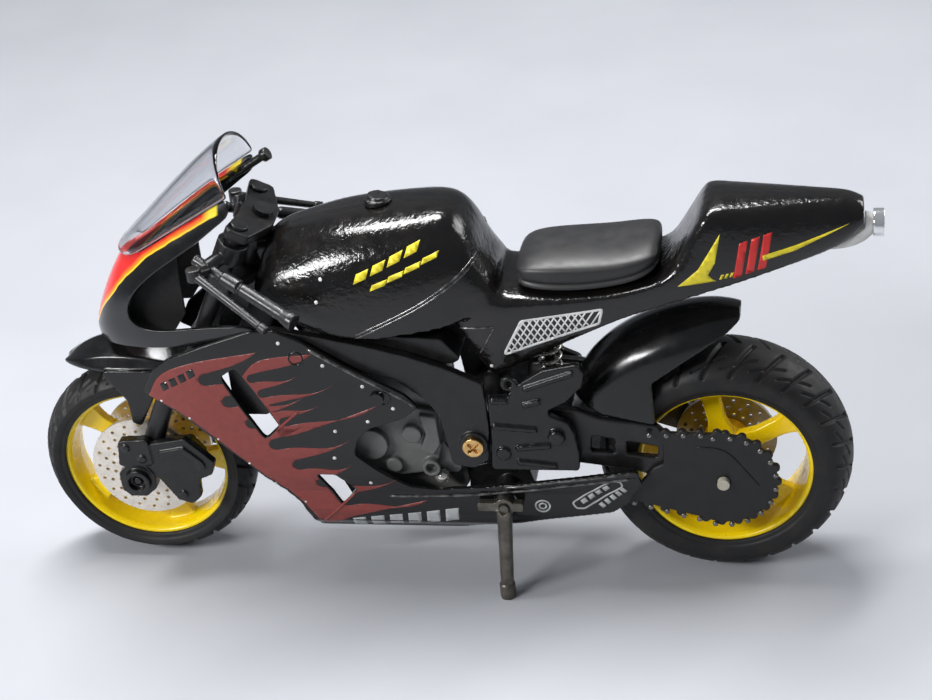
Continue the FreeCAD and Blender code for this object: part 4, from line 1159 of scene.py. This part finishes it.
def bar_word(start, run, rise, count, wide):
    """Outlines of upright bars along a line, each slanted a little."""
    start, run, rise = Vector(start), Vector(run), Vector(rise)
    bars = []
    for k in range(count):
        a = start + run * (k / count)
        b = a + run * (wide / count)
        bars.append([tuple(p) for p in (a, b, b + rise, a + rise)])
    return bars


def panel_prints():
    """Flames, plain marks in place of words, and pale rivet dots on the side panels."""
    def mark(name, outlines, ink_name, lift=PRINT_LIFT, holes=()):
        printed(name, outlines, M[ink_name], panel_y, lift, holes)

    holes = [grown(rounded_outline(edge, 2), 0.35) for edge in (PANEL_SLOT, PANEL_NOTCH)]
    front = tongues((-45.5, 57.5), (-14.5, 19.5), 7, long=14.5, short=9.5, radius=1.5)
    rear = tongues((-34.0, 57.0), (-26.5, 42.5), 4, long=15.0, short=9.0, radius=1.1)
    for name, head, rows, foot in (("front", FLAME_COLLAR, front, FLAME_FOOT),
                                   ("rear", REAR_FLAME_HEAD, rear, REAR_FLAME_FOOT)):
        top = smooth_flat(head + (rows[0][:2],), 5)
        under = smooth_flat(foot + head[:1], 4)
        mark("flame_" + name, [top[:-1] + licks(rows, foot[0]) + under[1:-1]], "flame", holes=holes)
    for k, (x, z) in enumerate(RIVETS):
        radius = RIVET_RADIUS if k < FRONT_RIVETS_FROM else FRONT_RIVET_RADIUS
        mark("rivet_dot_%d" % k, [circle(x, z, radius, 16)], "white", 0.08)
    badge = rounded_outline([(33.4, 20.6, 1.0), (32.4, 22.4, 1.0), (41.4, 29.4, 1.0), (43.6, 29.0, 1.0),
                             (44.0, 27.2, 1.0), (35.4, 20.6, 1.0)])
    words = (  # name, ink, lift, then the bars' start, run, rise, count and width
        ("front_bar", "gloss", 0.07, (-53.6, 51.4), (8.6, 4.6), (-0.5, 1.8), 4, 0.72),
        ("belly_bar", "grey", PRINT_LIFT, (-17.0, 12.4), (25.6, 4.4), (0.4, 4.0), 6, 0.70),
        ("badge_bar", "grey", PRINT_LIFT, (35.0, 22.0), (6.6, 5.2), (-0.6, 1.0), 4, 0.66),
        ("belly_dash", "grey", PRINT_LIFT, (39.2, 20.9), (6.0, 5.4), (-0.9, 1.1), 5, 0.62),
    )
    for name, ink_name, lift, *shape in words:
        for k, bar in enumerate(bar_word(*shape)):
            mark("%s_%d" % (name, k), [bar], ink_name, lift)
    for name, outer, inner in SEAL_RINGS:
        mark(name, [circle(*SEAL, outer, 32), circle(*SEAL, inner, 32)], "grey")
    mark("belly_badge", [badge, grown(badge, -0.42)], "grey")
    # Most ridges take the lighter black: a painted highlight along them.
    ridges = (  # points x z, radius, material
        (((17.6, 26.5), (30.0, 28.7), (46.6, 31.3)), 0.24, "highlight_line"),
        (((-7.6, 23.6), (2.4, 23.9), (14.0, 24.6), (30.0, 27.2), (46.8, 30.0)), 0.34, "highlight_line"),
        (((-29.4, 42.4), (-24.2, 47.0)), 0.34, "flame"),
        (((-23.4, 15.4), (-14.6, 24.6)), 0.34, "flame"),
        (((-20.6, 62.3), (-12.2, 56.9), (-1.4, 50.4), (0.9, 48.4)), 0.34, "highlight_line"),
    )
    for k, (points, radius, material) in enumerate(ridges):
        raised("panel_ridge_%d" % k, points, radius, panel_y, material, "panel_black", sink=0.03 * MM)
    for k, (x, z) in enumerate(((-23.2, 60.0), (-5.4, 50.5))):
        ring = circle(x, z, 1.5, 20)
        raised("panel_boss_%d" % k, ring + ring[:1], 0.20, panel_y, "gloss", "panel_black",
               sink=0.05 * MM, steps=2)


SPRING_WIRE, SPRING_TURNS, SPRING_STEPS = 0.42, 7, 24


def spring():
    """Wound coil of the shock, in place of its plain tube."""
    low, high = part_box("shock_spring")
    centre = (Vector(low) + Vector(high)) / 2
    wire = SPRING_WIRE * MM
    radius = (high[0] - low[0]) / 2 - wire
    path = []
    count = SPRING_TURNS * SPRING_STEPS
    for k in range(count + 1):
        a = math.tau * k / SPRING_STEPS
        z = low[2] + wire + (high[2] - low[2] - 2 * wire) * k / count
        path.append(Vector((centre.x + radius * math.cos(a), centre.y + radius * math.sin(a), z)))
    rings = []
    for i, here in enumerate(path):
        along = (path[min(i + 1, len(path) - 1)] - path[max(i - 1, 0)]).normalized()
        out = Vector((here.x - centre.x, here.y - centre.y, 0)).normalized()
        rings.append(round_section(here, wire, out, along.cross(out), 10))
    node = "shock_spring"
    coil = piece("shock_coil", *skin(rings, cap=True), M["steel"], BODY_OF[node], SLOT_OF[node], [node])
    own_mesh(coil)


CHAIN_RADIUS = 11.1  # of the pins round the sprocket
PIN_ROWS = ((-0.35, 0.62), (0.10, 0.60), (0.26, 0.48), (0.34, 0.26))  # height over the plate, radius


def chain_details():
    """Pin heads on the chain and a bent line on its plate, on the left."""
    face = -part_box("chain_plate")[0][1] / MM
    x0, z0 = (REAR_AXLE.x - MIDDLE_X) / MM, REAR_AXLE.z / MM
    spots = []
    for k in range(13):
        a = math.radians(-118 + k * 18.2)
        spots.append((x0 + CHAIN_RADIUS * math.cos(a), z0 + CHAIN_RADIUS * math.sin(a)))
    for k in range(4):
        spots.append((x0 - 4.6 - 3.6 * k, z0 + 11.6))
        spots.append((x0 - 8.6 - 3.5 * k, z0 - 8.9 + 1.02 * k))
    verts = []
    faces = []
    for x, z in spots:
        rings = []
        for height, radius in PIN_ROWS:
            rings.append([at(px, -face - height, pz) for px, pz in circle(x, z, radius, 14)])
        more, more_faces = skin(rings, cap=True)
        faces += [tuple(i + len(verts) for i in f) for f in more_faces]
        verts += more
    body = BODY_OF["chain_plate"]
    piece("chain_pins", verts, faces, M["chain"], body, "frame_black")
    bent = ((x0 - 5.6, z0 + 8.8), (x0 - 1.2, z0 + 8.4), (x0 + 1.6, z0 + 6.8), (x0 + 4.6, z0 + 3.0),
            (x0 + 7.6, z0 - 1.0))
    line = bead_mesh(bent, 0.24, lambda x, z: face)
    finish_piece("chain_plate_line", line, M["dark"], body)


# ------------------------------------------------------------ stage and camera
FLOOR_HALF = 1.6
SKY_COLOR, SKY_STRENGTH = (0.80, 0.86, 0.95, 1), 0.24
LIGHTS = (  # name, place, target, size, power; in metres and watts
    ("key", (-0.12, 0.12, 0.62), (0, 0, 0.04), (0.50, 0.10), 6.0),
    ("left_fill", (-0.45, -0.45, 0.42), (0, 0, 0.05), (0.30, 0.12), 4.5),
    ("rear_fill", (0.6, 0.35, 0.4), (0, 0, 0.05), (0.4, 0.3), 2.5),
)
SENSOR_MM, LENS_MM = 36.0, 77.7


def stage():
    corners = [(x, y, 0) for x in (-FLOOR_HALF, FLOOR_HALF) for y in (-FLOOR_HALF, FLOOR_HALF)]
    mesh = raw_mesh("floor", corners, [(0, 2, 3, 1)])
    pale = coated("floor_pale", (0.40, 0.41, 0.44), 0.65, ((0.37, 0.38, 0.41), 60.0),
                  bumps=((1.2, 2, 0.03, 0.3),))
    mesh.materials.append(pale.material)
    placed("floor", mesh)


def soft_light(name, place, target, size, power):
    """A rectangular light at place that faces target."""
    data = bpy.data.lights.new(name, "AREA")
    data.shape = "RECTANGLE"
    data.size, data.size_y = size
    data.energy = power
    lamp = placed(name, data)
    lamp.location = place
    lamp.rotation_mode = "QUATERNION"
    lamp.rotation_quaternion = (Vector(target) - Vector(place)).to_track_quat("-Z", "Y")


def lighting():
    world = bpy.data.worlds.new("studio")
    world.use_nodes = True
    sky = world.node_tree.nodes["Background"]
    sky.inputs["Color"].default_value = SKY_COLOR
    sky.inputs["Strength"].default_value = SKY_STRENGTH
    bpy.context.scene.world = world
    for row in LIGHTS:
        soft_light(*row)


def camera():
    """The photograph's viewing angle."""
    right = Vector((0.9859, 0.1453, -0.0828))
    up = Vector((-0.0049, 0.5199, 0.8542))
    forward = Vector((-0.1671, 0.8418, -0.5133))
    matrix = Matrix((right, up, -forward)).transposed().to_4x4()
    matrix.translation = at(82.3, -364.6, 274.7)
    data = bpy.data.cameras.new("camera")
    data.sensor_width = SENSOR_MM
    data.lens = LENS_MM
    data.clip_start = 0.01
    data.clip_end = 20.0
    cam = placed("camera", data)
    cam.matrix_world = matrix
    bpy.context.scene.camera = cam
    bpy.context.scene.view_settings.view_transform = "Standard"


wheels()
mechanics()
casting_lines(body_casting())
seat()
nose()
screen()
side_panels()
panel_prints()
chain_details()
stage()
lighting()
camera()
